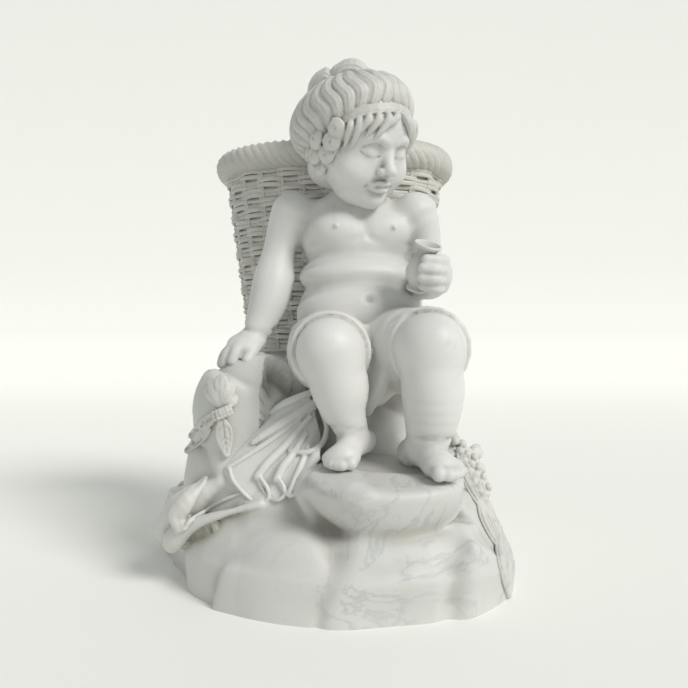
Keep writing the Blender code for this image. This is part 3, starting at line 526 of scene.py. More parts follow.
def shape_face(clay):
    """A calm toddler's face, its eyes lowered."""
    clay.place = HEAD
    clay.ball((0, 8, 14), (70, 86, 74), soft=0)
    clay.ball((0, -36, 20), (53, 46, 46), soft=22)
    clay.ball((0, -16, -36), (59, 56, 54), soft=22)
    clay.ball((0, -30, -74), (40, 34, 22), soft=14)
    for side in (-1, 1):
        clay.ball((33 * side, -42, -38), (29, 27, 27), soft=18)
    clay.ball((0, -56, -80), (18, 16, 14), soft=12)
    for side in (-1, 1):
        clay.ball((25.5 * side, -86, -4), (16, 10, 11), soft=12, cut=True)
    # The nose
    clay.limb([(0, -70, 4, 5), (0, -78, -12, 6), (0, -85, -26, 8)], soft=9)
    clay.ball((0, -90, -31), (9.5, 8.5, 8), soft=5)
    for side in (-1, 1):
        clay.ball((9.5 * side, -81, -34.5), (6, 8, 5.5), soft=3.5)
        clay.ball((5 * side, -88, -39.5), (2.8, 4, 2.2), soft=2, cut=True)
    # The upper lid covers each eyeball down to the lashes.
    for side in (-1, 1):
        clay.ball((25.5 * side, -62, -9), (14.5, 13.5, 12.5), turn=(0, 0, 14 * side), soft=4)
        clay.limb([(12.5 * side, -70.5, -11, 1.1), (18 * side, -75.5, -15.5, 1.4),
                   (26 * side, -76, -17.5, 1.5),
                   (34 * side, -71, -15, 1.4), (39.5 * side, -63, -10, 1)], soft=2, cut=True)
        clay.limb([(12 * side, -74, 0, 1), (19 * side, -77, 3.5, 1.2), (27 * side, -76, 4.5, 1.2),
                   (35 * side, -71, 1.5, 1.1), (40 * side, -64, -4, 0.8)], soft=3, cut=True)
        clay.limb([(9 * side, -79, 8, 2.5), (22 * side, -80, 13, 4), (36 * side, -70, 10, 3)], soft=9)
    # The mouth
    for side in (-1, 1):
        clay.limb([(0, -77.5, -52.5, 3.2), (6 * side, -77, -51.5, 3.8), (14 * side, -71.5, -54.5, 3),
                   (20 * side, -64, -57, 2)], soft=4)
    clay.limb([(-16, -67, -60, 2.4), (-8, -73.5, -62.5, 4.2), (0, -75, -63, 4.8),
               (8, -73.5, -62.5, 4.2),
               (16, -67, -60, 2.4)], soft=4)
    clay.limb([(-21, -64, -57, 1), (-12, -74, -57.5, 1.2), (-4, -80, -57.6, 1.3), (4, -80, -57.6, 1.3),
               (12, -74, -57.5, 1.2), (21, -64, -57, 1)], soft=2, cut=True)
    for side in (-1, 1):
        clay.ball((22.5 * side, -62.5, -57), 2.2, soft=5, cut=True)
    clay.limb([(0, -84, -41, 1.5), (0, -84.5, -48, 2)], soft=4, cut=True)
    clay.ball((0, -80, -70), (13, 6, 3.5), soft=6, cut=True)


def chisel_planes(points):
    """The broad flat planes of broken rock, as a height at each point."""
    rng = np.random.default_rng(ROCK_SEED)
    half = Vector((BASE_WIDTH, BASE_DEPTH, SEAT_HEIGHT)) * 0.55
    centres = rng.uniform((-half.x, -half.y, 0), (half.x, half.y, 2 * half.z), (ROCK_FACETS, 3))
    tilts = rng.normal(size=(ROCK_FACETS, 3)) * ROCK_RELIEF
    total = np.zeros(len(points))
    weights = np.full(len(points), 1e-12)
    for centre, tilt in zip(centres, tilts):
        gap = points - centre
        weight = np.exp(-np.einsum("ij,ij->i", gap, gap) / FACET_EDGE)
        total += weight * (gap @ tilt)
        weights += weight
    return total / weights


def shape_block(clay):
    """The low block that everything stands on, down past the floor. Its underside is cut flat later."""
    contour = np.array(CONTOUR, float) - CONTOUR_CENTRE
    contour *= (BASE_WIDTH / np.ptp(contour[:, 0]), BASE_DEPTH / np.ptp(contour[:, 1]))
    centre = np.array(CONTOUR_CENTRE) * MILLIMETRE
    angles = np.arctan2(contour[:, 1], contour[:, 0])
    radii = np.hypot(contour[:, 0], contour[:, 1])
    order = np.argsort(angles)

    def distance(p):
        x, y = p[:, 0] - centre[0], p[:, 1] - centre[1]
        radius = np.interp(np.arctan2(y, x), angles[order], radii[order], period=2 * math.pi)
        lean = BASE_TAPER * np.maximum(p[:, 2] - BASE_HEIGHT / 2, 0)
        side = np.hypot(x, y) - radius + lean
        top = p[:, 2] - BASE_HEIGHT - 0.25 * np.maximum(y + 0.10, 0)
        return -melt(-side, -top, BASE_ROUNDING)

    clay.place = Matrix.Identity(4)
    clay.form(distance, (-BASE_WIDTH, -BASE_DEPTH, -0.05), (BASE_WIDTH, BASE_DEPTH, 0.2))
    bm = bmesh.new()
    outline = bm.faces.new([bm.verts.new((centre[0] + x, centre[1] + y, -0.04)) for x, y in contour])
    grown = bmesh.ops.extrude_face_region(bm, geom=[outline])
    top = [item for item in grown["geom"] if isinstance(item, bmesh.types.BMVert)]
    bmesh.ops.translate(bm, verts=top, vec=(0, 0, BASE_HEIGHT + 0.03))
    bmesh.ops.recalc_face_normals(bm, faces=bm.faces)
    bmesh.ops.triangulate(bm, faces=bm.faces)
    clay.rough.append(bm)


def rock_clay():
    """The heap of boulders on the block, and the ledge under the feet."""
    clay = Clay()
    shape_block(clay)
    clay.place = ROCK
    for centre, radii in (((-30, 70, 110), (210, 190, 120)), ((-112, 5, 244), (90, 95, 80)),
                          ((-124, 20, 150), (108, 140, 120)), ((36, 40, 205), (135, 110, 86)),
                          ((0, 190, 180), (205, 135, 150)), ((0, 196, 262), (176, 112, 98)),
                          ((110, 60, 140), (108, 170, 110)), ((60, -15, 190), (120, 78, 104)),
                          ((-70, -60, 120), (110, 90, 70)), ((120, -60, 110), (110, 110, 62)),
                          ((-150, -30, 236), (38, 46, 80)), ((-130, -44, 262), (70, 60, 66))):
        clay.ball(centre, radii, soft=34)
    # The ledge under the feet is a bowl-bellied stone, flat on top.
    clay.place = POSE
    clay.ball((62, -148, 176), (120, 102, 94), soft=14)
    clay.beads[-1] = clay.place @ Matrix.Translation((62, -148, 134)) @ Matrix.Diagonal((112, 94, 46,
                                                                                         1))
    clay.form(lambda p: 177 - 0.06 * (p[:, 0] - 62) + 0.13 * (p[:, 1] + 170) - p[:, 2],
              (-80, -280, 150),
              (220, -70, 300), soft=12, cut=True)
    return clay


def shape_plants(clay):
    """Leaves and a seed head on the left of the rock, grapes and leaves on its right."""
    clay.place = ROCK
    # A flower's broad petals, its seed head and its pointed leaves
    for centre, radii, turn in (((-166, -46, 264), (22, 13, 32), (0, -14, 0)),
                                ((-148, -58, 262), (20, 12, 34), (0, 6, 0)),
                                ((-178, -44, 244), (20, 13, 20), (0, -50, 0)),
                                ((-136, -66, 250), (14, 11, 28), (0, 16, 0)),
                                ((-158, -70, 230), (24, 12, 13), (0, -32, 0))):
        clay.ball(centre, radii, turn=turn, soft=3)
    for leaf in (((-156, -68, 226, 12), (-176, -72, 214, 11), (-198, -78, 200, 4)),
                 ((-142, -80, 222, 9), (-140, -90, 204, 13), (-146, -98, 178, 3)),
                 ((-160, -112, 150, 11), (-192, -100, 132, 20), (-224, -80, 104, 24),
                  (-250, -58, 72, 17)),
                 ((-100, -148, 130, 6), (-150, -142, 116, 8), (-200, -122, 94, 10),
                  (-234, -96, 62, 11)),
                 ((172, -40, 196, 8), (196, -32, 172, 13), (214, -26, 140, 15), (230, -24, 108, 9)),
                 ((186, -70, 108, 10), (216, -56, 88, 12), (236, -46, 58, 11), (246, -40, 16, 9))):
        clay.limb(leaf, soft=4)
    clay.ball((238, 50, 58), (38, 52, 46), soft=6)
    # The bunch of grapes
    for x, y, z in GRAPES:
        clay.ball((x, y, z), GRAPE_RADIUS, soft=2)


def carved_rock():
    """The rock with its plants and the planes that the chisel left."""
    clay = rock_clay()
    shape_plants(clay)
    plain = clay.distance
    clay.distance = lambda points: plain(points) + chisel_planes(points)
    return clay


def cloth_mesh():
    """The end of the cloth, which runs down over the rock in folds and turns over at its hem."""
    tops = [(-35, -85, 282), (-34, -87, 272), (-32, -90, 265), (-29, -93, 257), (-27, -95, 249),
            (-24, -99, 238),
            (-22, -102, 228), (-19, -105, 215), (-18, -110, 204)]
    hem = [(-126, -82, 206), (-140, -98, 192), (-156, -112, 174), (-146, -125, 158), (-126, -134, 143),
           (-99, -142, 130), (-86, -140, 138), (-94, -130, 150), (-106, -120, 164), (-100, -130, 158),
           (-90, -142, 146), (-80, -150, 136), (-70, -152, 136), (-64, -148, 148), (-70, -138, 161),
           (-66, -148, 152), (-58, -158, 142), (-45, -160, 150), (-32, -152, 174), (-18, -142, 190)]
    tops = smooth_path([(*row, 0) for row in tops], 6)[:, :3]
    hem = smooth_path([(*row, 0) for row in hem], 4)[:, :3]
    across = np.linspace(0, 1, 90)

    def along(path):
        length = np.concatenate([[0], np.cumsum(np.linalg.norm(np.diff(path, axis=0), axis=1))])
        return np.stack([np.interp(across, length / length[-1], path[:, i]) for i in range(3)], 1)

    upper, lower = along(tops), along(hem)
    bm = bmesh.new()
    rows = []
    for t in np.linspace(0, 1, 16):
        sag = np.array((0, -6, 8)) * math.sin(math.pi * t)
        rows.append([bm.verts.new(POSE @ Vector(p)) for p in upper + (lower - upper) * t + sag])
    for high, low in zip(rows, rows[1:]):
        for i in range(len(high) - 1):
            bm.faces.new((high[i], high[i + 1], low[i + 1], low[i]))
    mesh = bpy.data.meshes.new("cloth")
    bm.to_mesh(mesh)
    bm.free()
    obj = new_object("cloth", mesh)
    thick = obj.modifiers.new("thick", "SOLIDIFY")
    thick.thickness = 0.007
    thick.offset = 0
    mesh = remeshed(evaluated_mesh(obj), CLOTH_VOXEL)
    return mesh


def seen_at(clay, across, down, lift=0.0):
    """The point of a form that the camera sees at a pixel, in world millimetres, lifted towards it."""
    way = np.array([(across - HALF_FRAME) / PIXELS_A_METRE, 1.0, (HALF_FRAME - down) / PIXELS_A_METRE])
    way /= np.linalg.norm(way)
    spots = np.array(CAMERA_PLACE) + np.arange(SIGHT_FROM, SIGHT_TO, SIGHT_STEP)[:, None] * way
    depth = clay.distance(spots)
    inside = np.flatnonzero(depth < 0)
    nearest = inside[0] if len(inside) else int(np.argmin(depth))
    return spots[nearest] * 1000 - way * lift


def seen_limb(clay, under, rows, soft, cut=False):
    """A limb along pixels of the form under it. A row is across, down, lift and radius."""
    path = [(*seen_at(under, across, down, lift), radius) for across, down, lift, radius in rows]
    clay.limb(path, soft=soft, cut=cut, steps=3)


class Surface:
    """A finished mesh that seen_at can look at, as it looks at clay."""

    def __init__(self, mesh):
        self.tree = BVHTree.FromPolygons([v.co for v in mesh.vertices],
                                         [p.vertices for p in mesh.polygons])

    def distance(self, points):
        return np.array([self.tree.find_nearest(Vector(point))[3] for point in points]) - SHEET_REACH


def fold_clay(under):
    """The raised pleats of the cloth's end, its upper rolls, its round flap and its rolled hem."""
    clay = Clay()
    clay.place = WORLD_MILLIMETRES
    crests = (((312, 392, 1, 5), (293, 400, 2, 6), (281, 406, 2, 6), (272, 413, 1, 4)),
              ((316, 402, 1, 6), (288, 420, 2, 7), (266, 434, 2, 7), (254, 442, 1, 5)),
              ((314, 408, 0, 3.5), (275, 437, 1, 4), (248, 455, 1, 4), (229, 467, 1, 3.5)),
              ((310, 417, 0, 4), (285, 446, 1, 6), (268, 463, 2, 6.5), (258, 476, 2, 6)),
              ((306, 434, 0, 4), (291, 457, 1, 5.5), (283, 467, 2, 6), (277, 479, 2, 5.5)),
              ((308, 446, 0, 3), (301, 466, 1, 4.5), (295, 480, 1, 4.5), (290, 492, 1, 4)),
              ((322, 412, 2, 4), (327, 428, 3, 4), (322, 444, 4, 4), (308, 452, 4, 4),
               (290, 451, 2, 3)))
    for rows in crests:
        seen_limb(clay, under, rows, soft=3)
    hem = ((229, 467, 1), (233, 480, 1), (242, 491, 1), (252, 500, 1), (262, 503, 1), (269, 497, 3),
           (267, 487, 4),
           (258, 475, 4), (262, 487, 2), (269, 497, 1), (278, 500, 1), (285, 494, 3), (283, 485, 4),
           (277, 477, 4), (282, 487, 2), (290, 496, 1), (299, 490, 1), (307, 480, 1), (316, 466, 1))
    seen_limb(clay, under, [(*row, 2.8) for row in hem], soft=2)
    return clay


def leaf(clay, under, stem, tip, width, lift, veins=5):
    """A pointed leaf with raised edges: a thin blade, a groove down its middle and slanting veins."""
    stem, tip = np.array(stem, float), np.array(tip, float)
    along = tip - stem
    aside = np.array((-along[1], along[0])) / np.linalg.norm(along)

    def at(share, side, more, radius):
        swell = width * math.sin(math.pi * min(1, share**0.8)) ** 0.8
        across, down = stem + along * share + aside * side * swell
        return (across, down, lift + more, radius)

    for side in (-0.66, -0.33, 0, 0.33, 0.66):
        seen_limb(clay, under, [at(share, side, -1, 3.4) for share in (0.08, 0.3, 0.55, 0.8, 0.94)],
                  soft=3)
    for side in (-1, 1):
        seen_limb(clay, under, [at(share, side, 1.5, 1.8) for share in (0.02, 0.25, 0.5, 0.75, 1)],
                  soft=1.5)
    seen_limb(clay, under, [at(share, 0, 3.2, 1.3) for share in (0.05, 0.5, 0.95)], soft=1, cut=True)
    for vein in range(veins):
        share = 0.2 + 0.6 * vein / max(veins - 1, 1)
        for side in (-1, 1):
            seen_limb(clay, under, [at(share, 0.05 * side, 3.2, 0.9),
                                    at(min(share + 0.12, 0.97), 0.8 * side, 3.0, 0.8)],
                      soft=0.6, cut=True)


def plant_clay(under):
    """The flower, the leaves and the wrapped leaf on the left, the grapes and leaf edges on the right."""
    clay = Clay()
    clay.place = WORLD_MILLIMETRES
    # Broad petals that fan out over a seed head
    for tip, width in (((207, 388), 5), ((212, 378), 6), ((222, 376), 6), ((231, 384), 6),
                       ((236, 397), 5)):
        start, end = np.array((222.0, 408.0)), np.array(tip, float)
        aside = np.array((-(end - start)[1], (end - start)[0])) / np.linalg.norm(end - start)
        for side in (-0.8, -0.4, 0, 0.4, 0.8):
            middle = start + (end - start) * 0.6 + aside * side * width
            last = start + (end - start) * (1.0 - 0.12 * side * side) + aside * side * width * 0.8
            seen_limb(clay, under, [(*start, 5, 3), (*middle, 10, 3.6), (*last, 8, 3.2)], soft=1.2)
    for across in range(6):
        for down in range(3):
            spot = seen_at(under, 213.5 + across * 3.2 + down, 413 - across * 1.3 + down * 3.2, 13)
            clay.ball(spot, 3.2, soft=0.8)
    leaf(clay, under, (222, 418), (227, 456), 7.5, 8)
    leaf(clay, under, (216, 414), (190, 437), 5, 8)
    leaf(clay, under, (210, 428), (186, 452), 4, 5)
    # The wrapped leaf at the foot of the rock, ribbed from end to end
    for rib in range(7):
        share = rib / 6
        seen_limb(clay, under, [(206 - 2 * share, 478 + 5 * share, 4, 3),
                                (186 + 4 * share, 496 + 8 * share, 12, 6),
                                (172 + 10 * share, 514 + 4 * share, 13, 6.5),
                                (178 + 7 * share, 531 - 3 * share, 7, 4)],
                  soft=1.2)
    seen_limb(clay, under, ((241, 493, 1, 2.5), (224, 500, 4, 3), (205, 511, 6, 3), (190, 521, 6, 3.5),
                            (184, 531, 4, 3)),
              soft=2)
    # The bunch of grapes
    for row, (across, down, count) in enumerate(((457, 441, 2), (462, 451, 3), (466, 461, 3),
                                                 (471, 471, 3), (476, 481, 3),
                                                 (481, 491, 2), (485, 499, 1))):
        for number in range(count):
            spot = seen_at(under, across + 7 * number - 2, down + 3 * number, 9 - 3 * number)
            clay.ball(spot, 6.6 + 0.5 * math.sin(3 * row + number), soft=0.8)
    leaf(clay, under, (458, 452), (492, 520), 8, 4, veins=7)
    leaf(clay, under, (478, 496), (508, 560), 7, 4, veins=6)
    leaf(clay, under, (497, 520), (509, 600), 5, 3, veins=6)
    return clay


def face_clay():
    """The head with its face, and the neck that it stands on."""
    clay = Clay()
    shape_face(clay)
    clay.place = TORSO
    clay.limb([(0, 12, 285, 36), (0, -10, 322, 36)], soft=16)
    return clay


def combed(p):
    """Wavy locks combed from the band up to the knot, each cut into finer strands."""
    angle = np.arctan2(p[:, 0], p[:, 1])
    height = p[:, 2]
    sway = 0.05 * np.sin(height / 15 + 1.5 * angle) + 0.02 * np.sin(height / 8 + 2 * angle + 1)
    lock = np.abs(np.sin(15 * (angle + sway)))
    strand = np.abs(np.sin(49 * (angle + 1.1 * sway) + 0.5 * np.sin(height / 9)))
    fine = np.abs(np.sin(120 * (angle + sway)))
    return 3.4 * (0.6 - lock**0.8) + 1.5 * (0.6 - strand**0.7) + 0.45 * (0.6 - fine)


def lock_of(clay, rows, soft=1.5, strands=3):
    """A lock of hair: a main tube, with strands laid side by side over it."""
    rows = np.array(rows, float)
    clay.limb(rows, soft=soft)
    ahead = rows[-1, :3] - rows[0, :3]
    side = np.cross(ahead, rows[len(rows) // 2, :3])
    side /= max(np.linalg.norm(side), 1e-9)
    for strand in range(strands):
        shift = (strand - (strands - 1) / 2) / strands * 1.7
        moved = rows.copy()
        moved[:, :3] += side * (shift * rows[:, 3:])
        moved[:, :3] += rows[:, :3] / np.linalg.norm(rows[:, :3], axis=1, keepdims=True) * rows[:,
                                                                                                3:] * 0.42
        moved[:, 3] *= 0.42
        clay.limb(moved, soft=0.6)


def curl(clay, centre, radius, turn, hand):
    """A curl: a tapering coil wound round its own middle, over a ball that fills it."""
    clay.ball(centre, radius * 0.72, soft=1)
    out = Vector((centre[0], centre[1], 0)).normalized()
    side = out.cross(Vector((0, 0, 1)))
    up = side.cross(out)
    for ring in range(2):
        rows = []
        for t in np.linspace(0, 1, 15):
            a = math.radians(turn) + hand * (t * 3.6 * math.pi + ring * math.pi)
            reach = radius * (1.0 - 0.78 * t)
            round_it = (side * math.cos(a) + up * math.sin(a)) * reach
            spot = centre + round_it + out * (radius * (0.35 + 0.35 * t))
            rows.append((*spot, radius * (0.26 - 0.10 * t)))
        clay.limb(rows, soft=0.8, steps=2)


def hair_clay():
    """The cap of combed hair with its band, the knot, the fringe and the curls."""
    clay = Clay()
    skull = Clay()
    skull.place = HEAD
    skull.ball((0, 8, 14), (70, 86, 74), soft=0)
    skull.ball((0, -36, 20), (53, 46, 46), soft=22)
    skull.ball((0, -16, -36), (59, 56, 54), soft=22)
    # The cap of hair, and the flat band that ties it, with its raised edges
    clay.place = BAND
    clay.ball((0, -3, 32), (92, 103, 60), soft=0, relief=combed)
    clay.ball((0, 6, -24), (72, 84, 40), soft=2)
    form = Clay()
    shape_face(form)
    form.place = BAND
    form.ball((0, -3, 32), (88, 99, 56), soft=0)
    for height, out, radius in ((-6.0, 1.6, 1.8), (-3.5, -0.5, 3.0), (0, -0.5, 3.2), (3.5, -0.5, 3.0),
                                (6.0, 1.6, 1.8)):
        ring = [(*form.round_at(BAND, angle, height, out), radius) for angle in np.linspace(-180, 180,
                                                                                            49)]
        clay.limb(ring, soft=0.8, steps=1)
    # The knot on the crown: two loops side by side, with strands
    clay.place = POSE
    clay.ball((8, 26, 752), (40, 26, 26), soft=3)
    for rows in (((-34, 34, 742, 11), (-30, 18, 764, 13), (-15, 10, 776, 14), (-5, 12, 764, 12)),
                 ((-2, 14, 762, 13), (8, 4, 780, 15), (32, 0, 784, 15), (54, 8, 768, 14),
                  (50, 22, 746, 12))):
        rows = np.array(rows, float)
        clay.limb(rows, soft=2)
        for strand in np.linspace(-1.1, 1.1, 6):
            moved = rows.copy()
            moved[:, 0] += 2.0 * np.sin(strand * 2)
            moved[:, 1] -= rows[:, 3] * math.cos(strand) * 0.92
            moved[:, 2] += rows[:, 3] * math.sin(strand) * 0.92
            moved[:, 3] *= 0.26
            clay.limb(moved, soft=0.6)
    # The fringe: long locks swept to either side of a parting, under the band
    clay.place = BAND
    for number in range(17):
        angle = -64 + 8 * number
        sweep = -13 if angle < 8 else 13
        drop = 27 + 6 * math.sin(number * 2.1)
        rows = []
        for share, side, out, radius in ((0, 0, -1, 4.6), (0.3, 0.10, 5, 5.6), (0.6, 0.42, 5, 4.8),
                                         (0.85, 0.85, 2.5, 3.0), (1, 1.25, 0.5, 0.9)):
            rows.append((*form.round_at(BAND, angle + sweep * side, -8 - drop * share, out), radius))
        lock_of(clay, rows)
    clay.place = HEAD
    # Curls at the temples and the nape
    number = 0
    for angle, height, radius in ((-62, 16, 12), (-66, -4, 13), (-72, -24, 12), (-90, -6, 14),
                                  (-94, -30, 14),
                                  (-86, -48, 10), (-118, -30, 14), (-122, -54, 12), (62, 18, 11),
                                  (68, 0, 12),
                                  (76, -20, 12), (90, -2, 14), (96, -26, 13), (118, -30, 14),
                                  (120, -52, 12),
                                  (150, -40, 15), (180, -44, 16), (-150, -40, 15), (165, -62, 12),
                                  (-165, -62, 12)):
        number += 1
        curl(clay, skull.round_at(HEAD, angle, height, 4), radius, 57 * number, 1 if angle < 0 else -1)
    return clay


class Shade:
    """A value inside a material, so that its arithmetic reads as arithmetic."""

    def __init__(self, tree, socket):
        self.tree = tree
        self.socket = socket

    def reckon(self, operation, *others, clamp=False):
        made = self.tree.nodes.new("ShaderNodeMath")
        made.operation = operation
        made.use_clamp = clamp
        for place, value in zip(made.inputs, (self, *others)):
            put(self.tree, place, value)
        return Shade(self.tree, made.outputs[0])

    def __add__(self, other):
        return self.reckon("ADD", other)

    def __mul__(self, other):
        return self.reckon("MULTIPLY", other)

    def __sub__(self, other):
        return self.reckon("SUBTRACT", other)

    def __rsub__(self, other):
        return (self * -1.0) + other

    __radd__ = __add__
    __rmul__ = __mul__

    def clamped(self):
        return self.reckon("ADD", 0.0, clamp=True)

    def step(self, low, high):
        """0 below low, 1 above high, smooth between."""
        made = self.tree.nodes.new("ShaderNodeMapRange")
        made.interpolation_type = "SMOOTHSTEP"
        for name, value in (("Value", self), ("From Min", low), ("From Max", high)):
            put(self.tree, made.inputs[name], value)
        return Shade(self.tree, made.outputs["Result"])


def put(tree, place, value):
    if isinstance(value, Shade):
        tree.links.new(value.socket, place)
    else:
        place.default_value = value


def node(tree, kind, output, settings=(), **inputs):
    """A new node's output, with its inputs by name."""
    made = tree.nodes.new(kind)
    for name, value in dict(settings).items():
        setattr(made, name, value)
    for name, value in inputs.items():
        put(tree, made.inputs[name.replace("_", " ")], value)
    return Shade(tree, made.outputs[output])


def blend(tree, share, under, over):
    """One colour laid over another by a share."""
    made = tree.nodes.new("ShaderNodeMix")
    made.data_type = "RGBA"
    put(tree, made.inputs[0], share)
    put(tree, made.inputs[6], under)
    put(tree, made.inputs[7], over)
    return Shade(tree, made.outputs[2])


def marble(name, light, weathering_and_shade):
    """White statuary marble with soft clouds and thin grey veins. Its hollows are painted browner, partly
    as patina and partly as painted shade.
    """
    material = bpy.data.materials.new(name)
    material.use_nodes = True
    tree = material.node_tree
    surface = tree.nodes["Principled BSDF"]
    place = node(tree, "ShaderNodeTexCoord", "Object")
    cloud = node(tree, "ShaderNodeTexNoise", "Fac", Vector=place, Scale=5.0, Detail=4.0, Roughness=0.55)
    drift = node(tree, "ShaderNodeTexNoise", "Fac", Vector=place, Scale=7.5, Detail=6.0, Roughness=0.6,
                 Distortion=1.6)
    vein = 1.0 - ((drift - 0.5).reckon("ABSOLUTE") * 26.0).clamped()
    patch = node(tree, "ShaderNodeTexNoise", "Fac", Vector=place, Scale=3.2, Detail=2.0).step(0.46,
                                                                                              0.64)
    grain = node(tree, "ShaderNodeTexNoise", "Fac", Vector=place, Scale=420.0, Detail=2.0)
    hollow = node(tree, "ShaderNodeAttribute", "Fac", {"attribute_name": "hollow"})
    base = blend(tree, cloud.step(0.36, 0.68), light, (light[0] * 0.90, light[1] * 0.91,
                                                       light[2] * 0.91, 1))
    base = blend(tree, vein * patch * 0.5, base, VEIN_COLOUR)
    stain = node(tree, "ShaderNodeTexNoise", "Fac", Vector=place, Scale=9.0, Detail=5.0, Roughness=0.65)
    # The hollows are painted browner: partly brown patina, partly painted shade standing in for the
    # shadow in the recesses.
    patina_and_shade = (hollow * (stain * 0.9 + 0.55)).clamped() * weathering_and_shade
    base = blend(tree, patina_and_shade, base, GRIME_AND_SHADE_COLOUR)
    speck = node(tree, "ShaderNodeTexNoise", "Fac", Vector=place, Scale=95.0, Detail=3.0).step(0.66,
                                                                                               0.78)
    base = blend(tree, speck * 0.16 * weathering_and_shade, base, GRIME_AND_SHADE_COLOUR)
    put(tree, surface.inputs["Base Color"], base)
    put(tree, surface.inputs["Roughness"], cloud * 0.14 + grain * 0.06 + 0.38)
    surface.inputs["Subsurface Weight"].default_value = 0.10
    surface.inputs["Subsurface Radius"].default_value = (1.0, 0.85, 0.7)
    surface.inputs["Subsurface Scale"].default_value = 0.004
    surface.inputs["Specular IOR Level"].default_value = 0.42
    bump = tree.nodes.new("ShaderNodeBump")
    bump.inputs["Strength"].default_value = 0.12
    bump.inputs["Distance"].default_value = 0.0006
    put(tree, bump.inputs["Height"], grain * 0.5 + stain * weathering_and_shade)
    put(tree, surface.inputs["Normal"], Shade(tree, bump.outputs["Normal"]))
    return material


def mark_hollows(mesh, reach):
    """Stores how hollow the surface is at each point, for the brown patina and the painted shade in its
    recesses.
    """
    points = points_of(mesh)
    ends = np.empty(len(mesh.edges) * 2, np.int32)
    mesh.edges.foreach_get("vertices", ends)
    a, b = ends.reshape(-1, 2).T
    count = np.bincount(a, minlength=len(points)) + np.bincount(b, minlength=len(points))
    count = np.maximum(count, 1)[:, None]

    def neighbours(values):
        total = np.zeros_like(values)
        for column in range(values.shape[1]):
            total[:, column] = (np.bincount(a, weights=values[b, column], minlength=len(points))
                                + np.bincount(b, weights=values[a, column], minlength=len(points)))
        return total / count

    normals = np.empty(len(points) * 3, np.float32)
    mesh.vertices.foreach_get("normal", normals)
    normals = normals.reshape(-1, 3)
    edge = np.linalg.norm(points[a] - points[b], axis=1).mean()
    rounds = int(min(60, max(3, (reach / edge) ** 2)))
    smooth = points
    for _ in range(rounds):
        smooth = neighbours(smooth)
    depth = np.einsum("ij,ij->i", smooth - points, normals) / reach
    hollow = np.clip(depth * 3.2 + 0.08, 0, 1)[:, None]
    for _ in range(3):
        hollow = 0.5 * hollow + 0.5 * neighbours(hollow)
    attribute = mesh.attributes.new("hollow", "FLOAT", "POINT")
    attribute.data.foreach_set("value", hollow[:, 0].astype(np.float32))


def finish_piece(name, mesh, material, reach=0.006, sharp=60):
    mesh.name = name
    mark_hollows(mesh, reach)
    mesh.shade_smooth()
    mesh.set_sharp_from_angle(angle=math.radians(sharp))
    mesh.materials.clear()
    mesh.materials.append(material)
    piece = new_object(name, mesh)
    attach(piece, "root")
    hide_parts("child_statue")
    return piece


def cut_at_floor(mesh):
    """The rock's mesh, cut flat where it stands."""
    bm = bmesh.new()
    bm.from_mesh(mesh)
    cut = bmesh.ops.bisect_plane(bm, geom=bm.verts[:] + bm.edges[:] + bm.faces[:], plane_co=(0, 0, 0),
                                 plane_no=(0, 0, 1), clear_inner=True)
    edges = [item for item in cut["geom_cut"] if isinstance(item, bmesh.types.BMEdge)]
    bmesh.ops.holes_fill(bm, edges=edges, sides=0)
    bmesh.ops.triangulate(bm, faces=[face for face in bm.faces if len(face.verts) > 4])
    bm.to_mesh(mesh)
    bm.free()
    return mesh


def from_bmesh(name, bm):
    bmesh.ops.recalc_face_normals(bm, faces=bm.faces)
    mesh = bpy.data.meshes.new(name)
    bm.to_mesh(mesh)
    bm.free()
    return mesh


def add_tube(bm, path, radii, sides=6, closed=False, squash=1.0, outward=None):
    """A round-ended tube along a path. squash flattens it across the direction that outward gives."""
    path = np.array(path, float)
    ahead = np.roll(path, -1, 0) - np.roll(path, 1, 0)
    if not closed:
        ahead[0], ahead[-1] = path[1] - path[0], path[-1] - path[-2]
    ahead /= np.maximum(np.linalg.norm(ahead, axis=1, keepdims=True), 1e-12)
    if outward is None:
        side = np.cross(ahead, (0.31, 0.22, 0.92))
    else:
        side = outward - ahead * np.einsum("ij,ij->i", outward, ahead)[:, None]
    side /= np.maximum(np.linalg.norm(side, axis=1, keepdims=True), 1e-12)
    across = np.cross(ahead, side)
    radii = np.broadcast_to(radii, len(path))
    loops = []
    for point, s, t, radius in zip(path, side, across, radii):
        loops.append([bm.verts.new(point + radius * (squash * math.cos(turn) * s + math.sin(turn) * t))
                      for turn in 2 * math.pi * np.arange(sides) / sides])
    pairs = list(zip(loops, loops[1:]))
    if closed:
        pairs.append((loops[-1], loops[0]))
    for low, high in pairs:
        for i in range(sides):
            j = (i + 1) % sides
            bm.faces.new((low[i], low[j], high[j], high[i]))
    if not closed:
        bm.faces.new(loops[0][::-1])
        bm.faces.new(loops[-1])


BASKET = (Matrix.Translation((BASKET_X, BASKET_Y, SEAT_HEIGHT + BASKET_STEP + BASKET_HEIGHT))
          @ Matrix.Rotation(math.radians(BASKET_YAW), 4,
                            "Z") @ Matrix.Rotation(math.radians(BASKET_LEAN), 4, "X"))


def oval_point(share, half_width, half_depth):
    """A point on the basket's broad oval, evenly spaced along it, and its outward direction."""
    turn = np.linspace(0, 2 * math.pi, 721)
    x = np.sign(np.cos(turn)) * np.abs(np.cos(turn)) ** (2 / OVAL_POWER) * half_width
    y = np.sign(np.sin(turn)) * np.abs(np.sin(turn)) ** (2 / OVAL_POWER) * half_depth
    length = np.concatenate([[0], np.cumsum(np.hypot(np.diff(x), np.diff(y)))])
    length /= length[-1]
    at = np.mod(share, 1)
    px, py = np.interp(at, length, x), np.interp(at, length, y)
    ahead = 0.002
    qx = np.interp(np.mod(at + ahead, 1), length, x) - np.interp(np.mod(at - ahead, 1), length, x)
    qy = np.interp(np.mod(at + ahead, 1), length, y) - np.interp(np.mod(at - ahead, 1), length, y)
    size = np.maximum(np.hypot(qx, qy), 1e-12)
    return px, py, qy / size, -qx / size


